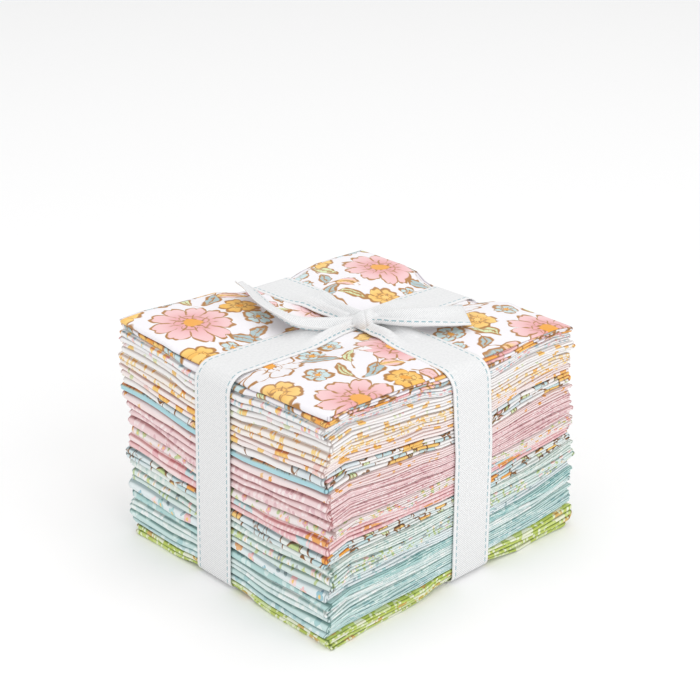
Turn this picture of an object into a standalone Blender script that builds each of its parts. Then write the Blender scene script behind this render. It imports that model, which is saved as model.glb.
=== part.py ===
"""Fat quarter bundle: a stack of folded quilting-cotton fat quarters, tied both ways with one ribbon.

Metres, +Z up. The origin is on the floor under the middle of the stack's box. Each fat quarter is one
back-and-forth section of two or four leaves, with its rounded folds on the -Y face and its thin leaf
ends on the +X and -X faces. The ribbon runs round the stack both ways, crosses itself underneath and
ends on top in a knot with two free tails.
"""

import math
from typing import NamedTuple

import bmesh
import bpy
from mathutils import Matrix, Vector

MM = 0.001

# Folded fat quarter: a 500 x 550 mm cut, folded in four both ways.
SIZE_X = 500 * MM / 4
SIZE_Y = 550 * MM / 4
HALF_X = SIZE_X / 2
HALF_Y = SIZE_Y / 2
LEAF_GAP = 0.08 * MM
PIECE_GAP = 0.35 * MM
RAW_END_SET_BACK = 1.6 * MM

# Ribbon: 21 mm wide, round the stack along Y (long way) and along X (short way).
RIBBON_WIDTH = 21 * MM
RIBBON_THICK = 1.0 * MM
RIBBON_GAP = 0.4 * MM
LONG_WAY_X = -2 * MM
SHORT_WAY_Y = 7 * MM
TOP_RADIUS = 7.5 * MM
FOOT_RADIUS = 3.5 * MM
CORNER_STEPS = 4
KNOT_GATHER = 11 * MM
GATHER_REACH = 34 * MM
GRIP_HALF = 13.5 * MM
GRIP_REACH = 30 * MM
SEAT = RIBBON_THICK + RIBBON_GAP

# The uneven stack is shifted by this, so that its box is centred on the origin.
CENTRING = Vector((0.35, -1.2, 0.0)) * MM

# Form of the tied stack.
CROWN = 1.4 * MM
PULL_EDGE = 1.0 * MM
PULL_TOP_GRIP = 8.0 * MM
PULL_FOOT_GRIP = 3.3 * MM
PULL_FOOT_LEFT = 6.0 * MM
PULL_FOOT_BACK = 5.0 * MM
LOOSE_NEAR = -1.0 * MM
LOOSE_FAR = 4.5 * MM

# Knot and tails.
KNOT = Vector((5.0, 5.0, 96.2)) * MM
KNOT_SIZE = Vector((11.4, 9.6, 7.8)) * MM
KNOT_TURN = math.radians(38)

# Where the sections are cut: the two inner pairs are the edges of the ribbon's grip.
STATIONS_X = (-HALF_X, -34 * MM, LONG_WAY_X - GRIP_HALF, LONG_WAY_X + GRIP_HALF, 36 * MM, HALF_X)
STATIONS_Y = (-34 * MM, SHORT_WAY_Y - GRIP_HALF, SHORT_WAY_Y + GRIP_HALF, 44 * MM)

TINTS = {
    "lilac_white": (0.86, 0.84, 0.86),
    "cream": (0.90, 0.86, 0.78),
    "white": (0.88, 0.86, 0.85),
    "pink": (0.84, 0.60, 0.62),
    "rose": (0.80, 0.52, 0.56),
    "pale_blue": (0.72, 0.80, 0.84),
    "aqua": (0.60, 0.76, 0.77),
    "green": (0.62, 0.70, 0.44),
}


class FatQuarter(NamedTuple):
    """One row of the stack: its tint, its height with the gap over it, its leaves, and how far each side
    stands out of the square, in mm."""

    tint: str
    height: float
    leaves: int
    left: float
    right: float
    front: float
    back: float

    def leaf(self) -> float:
        """Thickness of one leaf."""
        return (self.height * MM - PIECE_GAP - (self.leaves - 1) * LEAF_GAP) / self.leaves

    def fold_radius(self) -> float:
        """Outer radius of the fold between two leaves."""
        return self.leaf() + LEAF_GAP / 2


# From the floor up.
STACK = (
    FatQuarter("green", 5.6, 4, -1.5, 1.0, 0.6, 4.0),
    FatQuarter("aqua", 3.4, 2, -0.3, -0.9, 0.5, 4.6),
    FatQuarter("aqua", 3.4, 2, -0.2, -0.4, 0.9, 4.2),
    FatQuarter("aqua", 5.0, 4, 0.2, -0.8, 0.3, 3.4),
    FatQuarter("aqua", 3.4, 2, 0.0, -0.2, -0.3, 3.6),
    FatQuarter("pale_blue", 4.5, 2, 0.3, -1.3, 0.9, 3.3),
    FatQuarter("pale_blue", 5.6, 4, -0.6, 0.5, -0.5, 3.8),
    FatQuarter("aqua", 3.8, 2, 0.5, 0.3, -0.7, 2.6),
    FatQuarter("pale_blue", 5.2, 4, 1.0, -0.7, 0.9, 1.8),
    FatQuarter("rose", 5.8, 4, -0.4, -0.5, 0.4, 0.7),
    FatQuarter("white", 3.9, 2, -1.9, 1.4, -0.9, 0.8),
    FatQuarter("pink", 3.7, 2, -1.6, 0.2, -0.2, 1.2),
    FatQuarter("rose", 3.5, 2, -1.3, -0.3, -0.6, 0.2),
    FatQuarter("pink", 3.4, 2, -0.6, -0.3, 0.1, 0.4),
    FatQuarter("pink", 3.6, 2, 0.8, -0.6, 0.1, 0.7),
    FatQuarter("white", 7.0, 4, 1.5, -1.2, 0.6, 0.2),
    FatQuarter("white", 5.0, 4, 2.1, -0.8, 1.0, -0.9),
    FatQuarter("cream", 5.4, 4, 1.6, 0.2, 0.7, -1.1),
    FatQuarter("cream", 5.8, 4, 0.3, 0.5, -0.3, -0.3),
    FatQuarter("lilac_white", 4.6, 4, 0.8, -1.2, 0.9, -1.4),
    FatQuarter("lilac_white", 4.8, 4, 0.8, -0.4, -0.2, -0.8),
)
STACK_HEIGHT = sum(piece.height for piece in STACK) * MM - PIECE_GAP

# How far each top corner of the tied stack stands above the even height.
CORNER_RISE = {(-1, -1): 1.6 * MM, (1, -1): -0.2 * MM, (1, 1): -1.0 * MM, (-1, 1): -0.2 * MM}


class Lean(NamedTuple):
    """How far the visible side of a band stands off its middle line, in mm, and how soon it gets there."""

    top: float
    foot: float
    reach: float


LONG_WAY_LEAN = Lean(0.5, -3.3, 1.0)
SHORT_WAY_LEAN = Lean(-2.0, 1.2, 0.4)


class Station(NamedTuple):
    """One cross line of a ribbon tail, in mm: its edge nearer the -Y face and its edge farther from it."""

    near_x: float
    near_y: float
    near_z: float
    far_x: float
    far_y: float
    far_z: float


# Each tail runs out from inside the knot to its cut end.
LEFT_TAIL = (
    Station(5.0, 2.5, 95.4, 2.5, 6.5, 96.2),
    Station(-0.5, -8.5, 94.9, -7.5, 0.0, 95.2),
    Station(-3.5, -22.5, 99.0, -14.5, -12.0, 95.5),
    Station(-10.0, -27.0, 102.0, -22.5, -14.5, 96.2),
    Station(-26.0, -26.5, 103.7, -38.0, -11.0, 97.0),
    Station(-39.0, -22.5, 105.3, -50.0, -7.0, 97.2),
    Station(-46.5, -21.0, 106.0, -57.0, -5.5, 97.5),
)
RIGHT_TAIL = (
    Station(7.0, 3.0, 95.8, 4.5, 7.0, 96.8),
    Station(13.5, 4.5, 97.2, 8.0, 10.0, 98.0),
    Station(20.5, 6.0, 98.0, 12.5, 13.5, 99.4),
    Station(27.0, 9.5, 98.5, 17.0, 19.5, 99.8),
    Station(32.0, 15.5, 98.4, 20.0, 28.5, 99.5),
    Station(36.5, 22.5, 98.0, 21.5, 36.0, 98.7),
    Station(40.0, 30.0, 97.5, 23.0, 42.5, 98.2),
)


def clear_scene() -> None:
    """Empties the file it runs in."""
    for thing in list(bpy.data.objects):
        bpy.data.objects.remove(thing, do_unlink=True)


def grip(distance: float) -> float:
    """1 under the ribbon, easing to 0 at GRIP_REACH from its middle line."""
    share = (GRIP_REACH - abs(distance)) / (GRIP_REACH - GRIP_HALF)
    share = min(1.0, max(0.0, share))
    return share * share * (3 - 2 * share)


def long_grip(x: float) -> float:
    """Hold of the band that runs along Y."""
    return grip(x - LONG_WAY_X)


def short_grip(y: float) -> float:
    """Hold of the band that runs along X."""
    return grip(y - SHORT_WAY_Y)


def top_height(x: float, y: float) -> float:
    """Height of the tied stack's top cloth: crowned quarters with a valley under each band."""
    u, v = x / HALF_X, y / HALF_Y
    rise = sum(
        lift * (1 + side_x * u) * (1 + side_y * v) / 4 for (side_x, side_y), lift in CORNER_RISE.items()
    )
    crown = CROWN * max(0.0, 1 - u * u) * max(0.0, 1 - v * v)
    long_valley = (4.6 * MM + 1.6 * MM * v) * long_grip(x)
    short_valley = (2.0 * MM + 0.6 * MM * u) * short_grip(y)
    return STACK_HEIGHT - CROWN / 2 + rise + crown - max(long_valley, short_valley)


def foot_height(x: float, y: float) -> float:
    """Height of the lowest cloth: on the floor, and lifted where a band passes under it."""
    return SEAT * (long_grip(x) + short_grip(y))


def loosen(z: float, y: float) -> float:
    """Nominal height once the lowest fat quarter has sprung open towards +Y."""
    first = STACK[0].height * MM
    share = min(1.0, max(0.0, (1 + y / HALF_Y) / 2))
    spring = LOOSE_NEAR + (LOOSE_FAR - LOOSE_NEAR) * share * share
    if z < first:
        return z * (1 + spring / first)
    return z + spring * (STACK_HEIGHT - z) / (STACK_HEIGHT - first)


def arc_pull(radius: float, depth: float) -> float:
    """How far a rounded edge draws in at a depth below its corner."""
    left = min(radius, max(0.0, radius - depth))
    return radius - math.sqrt(radius * radius - left * left)


def side_pull(z: float, hold: float, foot_radius: float) -> float:
    """Drawing in of one side at nominal height z, stronger where a band holds it."""
    top = PULL_EDGE + (PULL_TOP_GRIP - PULL_EDGE) * hold
    foot = foot_radius + (PULL_FOOT_GRIP - foot_radius) * hold
    return arc_pull(top, STACK_HEIGHT - z) + arc_pull(foot, z)


def settle(point: Vector, piece: FatQuarter) -> Vector:
    """Moves a point of the flat, square stack to its place in the tied one."""
    x, y, z = point
    free_x, free_y = 1 - short_grip(y), 1 - long_grip(x)
    at_end_x = abs(x) > HALF_X - MM
    at_end_y = abs(y) > HALF_Y - 4 * MM
    if at_end_x:
        stand_out = (piece.right if x > 0 else piece.left) * MM * free_x
        foot = PULL_EDGE if x > 0 else PULL_FOOT_LEFT
        x += (stand_out - side_pull(z, 1 - free_x, foot)) * math.copysign(1, x)
    if at_end_y:
        stand_out = (piece.back if y > 0 else piece.front) * MM * free_y
        foot = PULL_FOOT_BACK if y > 0 else PULL_EDGE
        y += (stand_out - side_pull(z, 1 - free_y, foot)) * math.copysign(1, y)
    share = loosen(z, point.y) / STACK_HEIGHT
    low, high = foot_height(point.x, point.y), top_height(point.x, point.y)
    return Vector((x, y, low + (high - low) * share))


def fold_points(side: float, level: float, radius: float, steps: int) -> list[tuple[float, float]]:
    """Points (y, z) of a rounded fold's outer line from its lower leaf to its upper one."""
    middle_y = side * (HALF_Y - radius)
    return [
        (
            middle_y + side * radius * math.sin(math.pi * step / steps),
            level + radius * (1 - math.cos(math.pi * step / steps)),
        )
        for step in range(steps + 1)
    ]


def section_pairs(base: float, piece: FatQuarter) -> list[tuple[tuple[float, float], tuple[float, float]]]:
    """Pairs of points (y, z) across the folded section, from one raw end to the other.

    The first of each pair is on the cloth's outer face at the -Y folds.
    """
    inner_y = HALF_Y - piece.fold_radius()
    raw_y = HALF_Y - RAW_END_SET_BACK
    pairs = []
    for leaf in range(piece.leaves):
        low = base + leaf * (piece.leaf() + LEAF_GAP)
        high = low + piece.leaf()
        start, end = (inner_y, -inner_y) if leaf % 2 == 0 else (-inner_y, inner_y)
        if leaf == 0:
            start = raw_y
        if leaf == piece.leaves - 1:
            end = raw_y
        between = sorted(STATIONS_Y, reverse=start > end)
        outer, inner = (low, high) if leaf % 2 == 0 else (high, low)
        pairs += [((y, outer), (y, inner)) for y in (start, *between, end)]
        if leaf == piece.leaves - 1:
            break
        side = -1 if leaf % 2 == 0 else 1
        turn = fold_points(side, low, piece.fold_radius(), 4)[1:-1]
        if side < 0:
            pairs += [(point, None) for point in turn]
        else:
            pairs += [(None, point) for point in turn]
    return pairs


def section_faces(shape: bmesh.types.BMesh, base: float, piece: FatQuarter) -> list[bmesh.types.BMFace]:
    """Draws the folded section at the -X end as faces in the YZ plane."""
    made: dict[tuple[float, float], bmesh.types.BMVert] = {}

    def corner(point):
        key = (round(point[0], 7), round(point[1], 7))
        if key not in made:
            made[key] = shape.verts.new((-HALF_X, point[0], point[1]))
        return made[key]

    faces = []
    pairs = section_pairs(base, piece)
    first, second = (corner(point) for point in pairs[0])
    fan = []
    for outer, inner in pairs[1:]:
        if outer is None or inner is None:
            fan.append(corner(outer or inner))
            turning_outer = inner is None
            continue
        new_first, new_second = corner(outer), corner(inner)
        if fan:
            outline = (
                [first, *fan, new_first, new_second, second]
                if turning_outer
                else [second, *fan, new_second, new_first, first]
            )
            fan = []
        else:
            outline = [first, new_first, new_second, second]
        faces.append(shape.faces.new(outline))
        first, second = new_first, new_second
    return faces


def cloth_material(name: str, colour: tuple[float, float, float]) -> bpy.types.Material:
    """Matt woven cotton or ribbon in one colour."""
    material = bpy.data.materials.get(name)
    if material:
        return material
    material = bpy.data.materials.new(name)
    material.use_nodes = True
    surface = material.node_tree.nodes["Principled BSDF"]
    surface.inputs["Base Color"].default_value = (*colour, 1.0)
    surface.inputs["Roughness"].default_value = 0.9
    surface.inputs["Metallic"].default_value = 0.0
    return material


def add_object(name: str, shape: bmesh.types.BMesh, material: bpy.types.Material) -> bpy.types.Object:
    """Turns a finished shape into a named object with its material, centred on the origin."""
    bmesh.ops.recalc_face_normals(shape, faces=shape.faces[:])
    bmesh.ops.translate(shape, verts=shape.verts, vec=CENTRING)
    mesh = bpy.data.meshes.new(name)
    shape.to_mesh(mesh)
    shape.free()
    mesh.materials.append(material)
    thing = bpy.data.objects.new(name, mesh)
    bpy.context.collection.objects.link(thing)
    return thing


def crease_outwards(shape: bmesh.types.BMesh) -> None:
    """Splits each face between two stations along the line that runs out from the bands' crossing.

    Every leaf is creased alike, so neighbours that lie a hair apart stay apart when they bend.
    """
    shape.normal_update()

    def reach(corner):
        place = corner.vert.co
        away = abs(place.x - LONG_WAY_X) + abs(place.y - SHORT_WAY_Y)
        return round(away, 6), round(place.x, 6), round(place.y, 6)

    for face in [face for face in shape.faces if len(face.verts) == 4 and abs(face.normal.x) < 0.5]:
        far = max(face.loops, key=reach)
        bmesh.utils.face_split(face, far.vert, far.link_loop_next.link_loop_next.vert)


def build_fat_quarter(index: int, base: float, piece: FatQuarter) -> bpy.types.Object:
    """Extrudes the folded section along X, one station at a time, and settles it in the stack."""
    shape = bmesh.new()
    front = section_faces(shape, base, piece)
    for here, following in zip(STATIONS_X, STATIONS_X[1:]):
        borders = {edge for face in front for edge in face.edges}
        grown = bmesh.ops.extrude_face_region(shape, geom=[*front, *borders])["geom"]
        moved = [item for item in grown if isinstance(item, bmesh.types.BMVert)]
        bmesh.ops.translate(shape, verts=moved, vec=(following - here, 0, 0))
        front = [item for item in grown if isinstance(item, bmesh.types.BMFace)]
    crease_outwards(shape)
    for vertex in shape.verts:
        vertex.co = settle(vertex.co, piece)
    material = cloth_material(f"cotton_{piece.tint}", TINTS[piece.tint])
    return add_object(f"fat_quarter_{index + 1:02d}", shape, material)


def quarter_arc(run: float, z: float, radius: float, start_turn: float) -> list[tuple[float, float]]:
    """Quarter circle (run, z) of a band's rounded corner, turning clockwise from start_turn."""
    turns = [start_turn - math.pi / 2 * step / CORNER_STEPS for step in range(CORNER_STEPS + 1)]
    return [(run + radius * math.cos(turn), z + radius * math.sin(turn)) for turn in turns]


def band_line(along_y: bool) -> list[tuple[float, float]]:
    """Inner line of a band round the stack as (run, z), clockwise from its top left corner."""
    half = (HALF_Y if along_y else HALF_X) + RIBBON_GAP
    stops = STATIONS_Y if along_y else STATIONS_X[1:-1]
    over_other = 0 if along_y else RIBBON_THICK + RIBBON_GAP

    def over(run):
        x, y = (LONG_WAY_X, run) if along_y else (run, SHORT_WAY_Y)
        return top_height(x, y) + RIBBON_GAP + over_other * long_grip(x)

    top_run, foot_run = half - TOP_RADIUS, half - FOOT_RADIUS
    foot_z = RIBBON_THICK + FOOT_RADIUS
    line = quarter_arc(-top_run, over(-top_run) - TOP_RADIUS, TOP_RADIUS, math.pi)
    line += [(run, over(run)) for run in stops]
    line += quarter_arc(top_run, over(top_run) - TOP_RADIUS, TOP_RADIUS, math.pi / 2)
    line += quarter_arc(foot_run, foot_z, FOOT_RADIUS, 0)
    line += [(run, RIBBON_THICK + over_other * long_grip(run)) for run in reversed(stops)]
    line += quarter_arc(-foot_run, foot_z, FOOT_RADIUS, -math.pi / 2)
    return line


def band_middle(run: float, z: float, along_y: bool) -> float:
    """Middle line of a band, which leans on the side that the photo shows: -Y or +X."""
    middle, lean = (LONG_WAY_X, LONG_WAY_LEAN) if along_y else (SHORT_WAY_Y, SHORT_WAY_LEAN)
    visible = (1 - run / HALF_Y) / 2 if along_y else (1 + run / HALF_X) / 2
    drop = min(1.0, max(0.0, (1 - z / STACK_HEIGHT) / lean.reach))
    return middle + (lean.top + (lean.foot - lean.top) * drop) * MM * visible


def band_half_width(run: float, z: float, along_y: bool) -> float:
    """Half of a band's width: drawn together on top towards the knot."""
    if z < STACK_HEIGHT / 2:
        return RIBBON_WIDTH / 2
    away = abs(run - (SHORT_WAY_Y if along_y else LONG_WAY_X)) - GRIP_HALF
    share = min(1.0, max(0.0, away / (GATHER_REACH - GRIP_HALF)))
    return (KNOT_GATHER + (RIBBON_WIDTH - KNOT_GATHER) * share) / 2


def thicken(thing: bpy.types.Object, offset: float) -> None:
    """Gives a ribbon surface its thickness."""
    wall = thing.modifiers.new("thickness", "SOLIDIFY")
    wall.thickness = RIBBON_THICK
    wall.offset = offset
    wall.use_even_offset = True


def build_band(name: str, along_y: bool, material: bpy.types.Material) -> bpy.types.Object:
    """One closed turn of the ribbon round the stack."""
    shape = bmesh.new()
    rows = []
    for run, z in band_line(along_y):
        middle, half = band_middle(run, z, along_y), band_half_width(run, z, along_y)
        sides = (middle - half, middle + half)
        rows.append([shape.verts.new((side, run, z) if along_y else (run, side, z)) for side in sides])
    for here, following in zip(rows, rows[1:] + rows[:1]):
        shape.faces.new((here[0], here[1], following[1], following[0]))
    band = add_object(name, shape, material)
    thicken(band, 1.0)
    return band


def build_tail(name: str, stations: tuple[Station, ...], material: bpy.types.Material) -> bpy.types.Object:
    """One free end of the ribbon, from inside the knot to its cut edge."""
    shape = bmesh.new()
    rows = []
    for station in stations:
        near, far = Vector(station[:3]) * MM, Vector(station[3:]) * MM
        rows.append([shape.verts.new(far.lerp(near, share)) for share in (0.0, 0.5, 1.0)])
    for here, following in zip(rows, rows[1:]):
        for left, right in ((0, 1), (1, 2)):
            shape.faces.new((here[left], here[right], following[right], following[left]))
    tail = add_object(name, shape, material)
    thicken(tail, 0.0)
    return tail


def build_knot(name: str, material: bpy.types.Material) -> bpy.types.Object:
    """The rounded, drawn-tight knot."""
    shape = bmesh.new()
    bmesh.ops.create_uvsphere(shape, u_segments=12, v_segments=8, radius=0.5)
    place = Matrix.Translation(KNOT) @ Matrix.Rotation(KNOT_TURN, 4, "Z")
    bmesh.ops.transform(shape, matrix=place @ Matrix.Diagonal((*KNOT_SIZE, 1)), verts=shape.verts)
    return add_object(name, shape, material)


def build_ribbon() -> bpy.types.Object:
    """Both turns, the knot and the tails, joined into the one ribbon that they are."""
    material = cloth_material("ribbon_white", (0.88, 0.88, 0.88))
    ribbon = build_knot("ribbon", material)
    joined = (
        build_band("turn_long_way", True, material),
        build_band("turn_short_way", False, material),
        build_tail("tail_left", LEFT_TAIL, material),
        build_tail("tail_right", RIGHT_TAIL, material),
    )
    for piece in joined:
        union = ribbon.modifiers.new(f"join_{piece.name}", "BOOLEAN")
        union.operation = "UNION"
        union.object = piece
        piece.hide_render = True
        piece.display_type = "WIRE"
    return ribbon


def main() -> None:
    """Builds the stack from the floor up, then the ribbon."""
    clear_scene()
    base = 0.0
    for index, piece in enumerate(STACK):
        build_fat_quarter(index, base, piece)
        base += piece.height * MM
    build_ribbon()


main()
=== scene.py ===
"""Looks of a tied bundle of folded fat quarters: printed cotton, and the ribbon that ties it both ways.

Metres, in the row's own frame. The cloth and the ribbon are worked out in millimetres in the stack's square
frame, whose origin lies at CENTRING. The rounded folds face -Y and the thin ply ends face +X and -X.
"""
import logging
import math
from dataclasses import dataclass
from enum import Enum
from typing import NamedTuple

import bmesh
import bpy
from mathutils import Matrix, Vector


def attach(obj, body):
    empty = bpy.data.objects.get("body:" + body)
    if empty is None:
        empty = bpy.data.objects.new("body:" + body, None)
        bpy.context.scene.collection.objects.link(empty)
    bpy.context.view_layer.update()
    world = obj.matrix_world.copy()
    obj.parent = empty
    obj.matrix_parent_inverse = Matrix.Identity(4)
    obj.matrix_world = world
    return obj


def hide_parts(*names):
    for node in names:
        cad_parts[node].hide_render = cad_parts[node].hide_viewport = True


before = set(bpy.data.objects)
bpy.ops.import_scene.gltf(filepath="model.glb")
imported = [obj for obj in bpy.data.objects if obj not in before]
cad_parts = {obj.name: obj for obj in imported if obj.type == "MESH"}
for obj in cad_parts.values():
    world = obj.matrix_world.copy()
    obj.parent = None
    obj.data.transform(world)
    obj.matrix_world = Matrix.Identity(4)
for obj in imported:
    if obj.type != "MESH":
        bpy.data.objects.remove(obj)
LOG = logging.getLogger("fat_quarter_bundle")

MM = 0.001
CENTRING = Vector((0.35, -1.2, 0.0)) * MM

Colour = tuple[float, float, float]
Socket = bpy.types.NodeSocket
Line = list[tuple[float, float]]


def linear(colour: Colour) -> tuple[float, float, float, float]:
    """Turns a colour as it is seen on a screen into the linear one that a shader takes."""
    return (*(c / 12.92 if c < 0.04045 else ((c + 0.055) / 1.055) ** 2.4 for c in colour), 1.0)


def ease(value: float, low: float, high: float) -> float:
    """Rises smoothly from 0 at low to 1 at high."""
    share = min(1.0, max(0.0, (value - low) / (high - low)))
    return share * share * (3 - 2 * share)


class Ramp(NamedTuple):
    """A smooth rise from 0 at its low end to 1 at its high end."""

    low: float
    high: float

    def at(self, value: float) -> float:
        """How far the rise has come at a value."""
        return ease(value, self.low, self.high)


class Ripple(NamedTuple):
    """A wave along an edge: its height, its length over one radian, and its shift from leaf to leaf."""

    height: float
    length: float
    shift: float

    def at(self, along: float, seed: float) -> float:
        """The wave at a place along the edge, on the leaf that has this number."""
        return self.height * math.sin(along / self.length + self.shift * seed)


class Hue:
    """The bundle's colours, as they are seen."""

    BRIGHT_WHITE: Colour = (1.0, 1.0, 1.0)
    LILAC_WHITE: Colour = (0.95, 0.94, 0.955)
    WHITE: Colour = (0.965, 0.955, 0.95)
    PALE_PINK: Colour = (0.97, 0.88, 0.88)
    PINK: Colour = (0.95, 0.785, 0.79)
    ORANGE: Colour = (0.94, 0.66, 0.26)
    AMBER: Colour = (0.955, 0.74, 0.37)
    YELLOW: Colour = (0.97, 0.81, 0.47)
    GOLD_BROWN: Colour = (0.70, 0.49, 0.25)
    BROWN: Colour = (0.55, 0.37, 0.19)
    GREY_TEAL: Colour = (0.68, 0.77, 0.785)
    PALE_BLUE: Colour = (0.79, 0.88, 0.89)
    AQUA: Colour = (0.72, 0.86, 0.86)
    GREEN: Colour = (0.76, 0.83, 0.56)
    TEAL: Colour = (0.46, 0.66, 0.70)
    TAPE: Colour = (0.955, 0.955, 0.955)
    TAPE_SHADE: Colour = (0.84, 0.845, 0.85)


@dataclass(frozen=True)
class Number:
    """A number that a material works out at each point. It takes the usual signs of arithmetic."""

    work: "NodeWork"
    socket: Socket

    def __add__(self, other: "Feed") -> "Number":
        """The sum."""
        return self.work.math("ADD", self, other)

    def __sub__(self, other: "Feed") -> "Number":
        """The difference."""
        return self.work.math("SUBTRACT", self, other)

    def __rsub__(self, other: float) -> "Number":
        """The difference from a plain number."""
        return self.work.math("SUBTRACT", other, self)

    def __mul__(self, other: "Feed") -> "Number":
        """The product."""
        return self.work.math("MULTIPLY", self, other)

    def __truediv__(self, other: "Feed") -> "Number":
        """The quotient."""
        return self.work.math("DIVIDE", self, other)

    def __rtruediv__(self, other: float) -> "Number":
        """A plain number divided by this one."""
        return self.work.math("DIVIDE", other, self)

    def __pow__(self, other: float) -> "Number":
        """The power."""
        return self.work.math("POWER", self, other)

    def __abs__(self) -> "Number":
        """The size without its sign."""
        return self.work.math("ABSOLUTE", self)

    def __lt__(self, other: float) -> "Number":
        """1 where this is the smaller, else 0."""
        return self.work.math("LESS_THAN", self, other)

    def __gt__(self, other: float) -> "Number":
        """1 where this is the larger, else 0."""
        return self.work.math("GREATER_THAN", self, other)

    def sine(self) -> "Number":
        """The sine, of radians."""
        return self.work.math("SINE", self)

    def or_more(self, other: "Number") -> "Number":
        """The larger of two numbers."""
        return self.work.math("MAXIMUM", self, other)


Feed = Number | Socket | float | tuple[float, ...]


class NodeWork:
    """Adds and links the shader nodes of one tree."""

    def __init__(self, tree: bpy.types.NodeTree) -> None:
        """Takes the tree to work on."""
        self.tree = tree

    def add(self, kind: str, **settings: str | bool | float) -> bpy.types.Node:
        """Adds one node.

        Args:
            kind: Blender's name for the node.
            settings: its own settings, by name.

        Returns:
            The new node.
        """
        node = self.tree.nodes.new(kind)
        for name, value in settings.items():
            setattr(node, name, value)
        return node

    def feed(self, socket: Socket, value: Feed | None) -> None:
        """Links a socket to a value or sets it, and leaves it alone without one.

        Args:
            socket: the input.
            value: what goes into it.
        """
        if isinstance(value, Number):
            value = value.socket
        if isinstance(value, bpy.types.NodeSocket):
            self.tree.links.new(value, socket)
        elif value is not None:
            socket.default_value = value

    def fed(
        self, kind: str, values: dict[str | int, Feed | None], **settings: str | bool | float
    ) -> bpy.types.Node:
        """Adds one node and feeds its inputs.

        Args:
            kind: Blender's name for the node.
            values: what goes into its inputs, by their names or numbers.
            settings: its own settings, by name.

        Returns:
            The new node.
        """
        node = self.add(kind, **settings)
        for name, value in values.items():
            self.feed(node.inputs[name], value)
        return node

    def math(self, operation: str, *values: Feed) -> Number:
        """One Math node on up to three numbers."""
        node = self.fed("ShaderNodeMath", dict(enumerate(values)), operation=operation)
        return Number(self, node.outputs[0])

    def vector(self, operation: str, *values: Feed) -> Socket:
        """One Vector Math node on up to three vectors."""
        node = self.fed("ShaderNodeVectorMath", dict(enumerate(values)), operation=operation)
        return node.outputs["Vector"]

    def length(self, vector: Socket) -> Number:
        """How long a vector is."""
        node = self.fed("ShaderNodeVectorMath", {0: vector}, operation="LENGTH")
        return Number(self, node.outputs["Value"])

    def turned(self, vector: Socket, angle: Feed) -> Socket:
        """A vector turned in the cloth's plane by so many radians."""
        given = {"Vector": vector, "Angle": angle}
        return self.fed("ShaderNodeVectorRotate", given, rotation_type="Z_AXIS").outputs[0]

    def rise(self, value: Feed, low: Feed, high: Feed) -> Number:
        """Goes smoothly from 0 where value is low to 1 where it is high."""
        given = {"Value": value, "From Min": low, "From Max": high}
        return Number(self, self.fed("ShaderNodeMapRange", given, interpolation_type="SMOOTHSTEP").outputs[0])

    def mix(self, share: Feed, under: Socket | Colour, over: Socket | Colour) -> Socket:
        """The lower colour where the upper one's share is 0, and the upper one where it is 1."""
        lower, upper = (linear(paint) if isinstance(paint, tuple) else paint for paint in (under, over))
        return self.fed("ShaderNodeMix", {0: share, 6: lower, 7: upper}, data_type="RGBA").outputs[2]

    def parts(self, vector: Socket) -> tuple[Number, Number, Number]:
        """The three numbers of a vector or colour."""
        x, y, z = self.fed("ShaderNodeSeparateXYZ", {0: vector}).outputs
        return Number(self, x), Number(self, y), Number(self, z)

    def whole(self, x: Feed, y: Feed) -> Socket:
        """A vector in the cloth's plane."""
        return self.fed("ShaderNodeCombineXYZ", {0: x, 1: y}).outputs[0]

    def noise(self, place: Socket, scale: float, detail: float = 1.0) -> bpy.types.Node:
        """A Noise Texture at so many waves to the millimetre."""
        given = {"Vector": place, "Scale": scale, "Detail": detail}
        return self.fed("ShaderNodeTexNoise", given, noise_dimensions="2D")

    def cloud(self, place: Socket, scale: float, detail: float = 1.0) -> Number:
        """The level of a Noise Texture at so many waves to the millimetre."""
        return Number(self, self.noise(place, scale, detail).outputs["Fac"])

    def pick(self, chance: Feed, tones: tuple[Colour, ...]) -> Socket:
        """Chooses one of several colours.

        Args:
            chance: a number from 0 to 1 that makes the choice.
            tones: the colours, each as likely as the others.

        Returns:
            The chosen colour.
        """
        node = self.fed("ShaderNodeValToRGB", {0: chance})
        ramp = node.color_ramp
        ramp.interpolation = "CONSTANT"
        ramp.elements.remove(ramp.elements[1])
        for index, tone in enumerate(tones):
            stop = ramp.elements.new(index / len(tones)) if index else ramp.elements[0]
            stop.color = linear(tone)
        return node.outputs[0]

    def bump(self, height: Number, strength: float, depth: float, under: Socket | None = None) -> Socket:
        """The surface's direction with a height in it, of which 1 measures so many millimetres of depth."""
        given = {"Height": height, "Strength": strength, "Distance": depth * MM, "Normal": under}
        return self.fed("ShaderNodeBump", given).outputs[0]

    def cloth_place(self) -> Socket:
        """Where a point lies on the flat cloth, in millimetres."""
        flat = self.add("ShaderNodeUVMap", uv_map="cloth").outputs[0]
        return self.vector("MULTIPLY", flat, (1 / MM, 1 / MM, 0.0))


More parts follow.
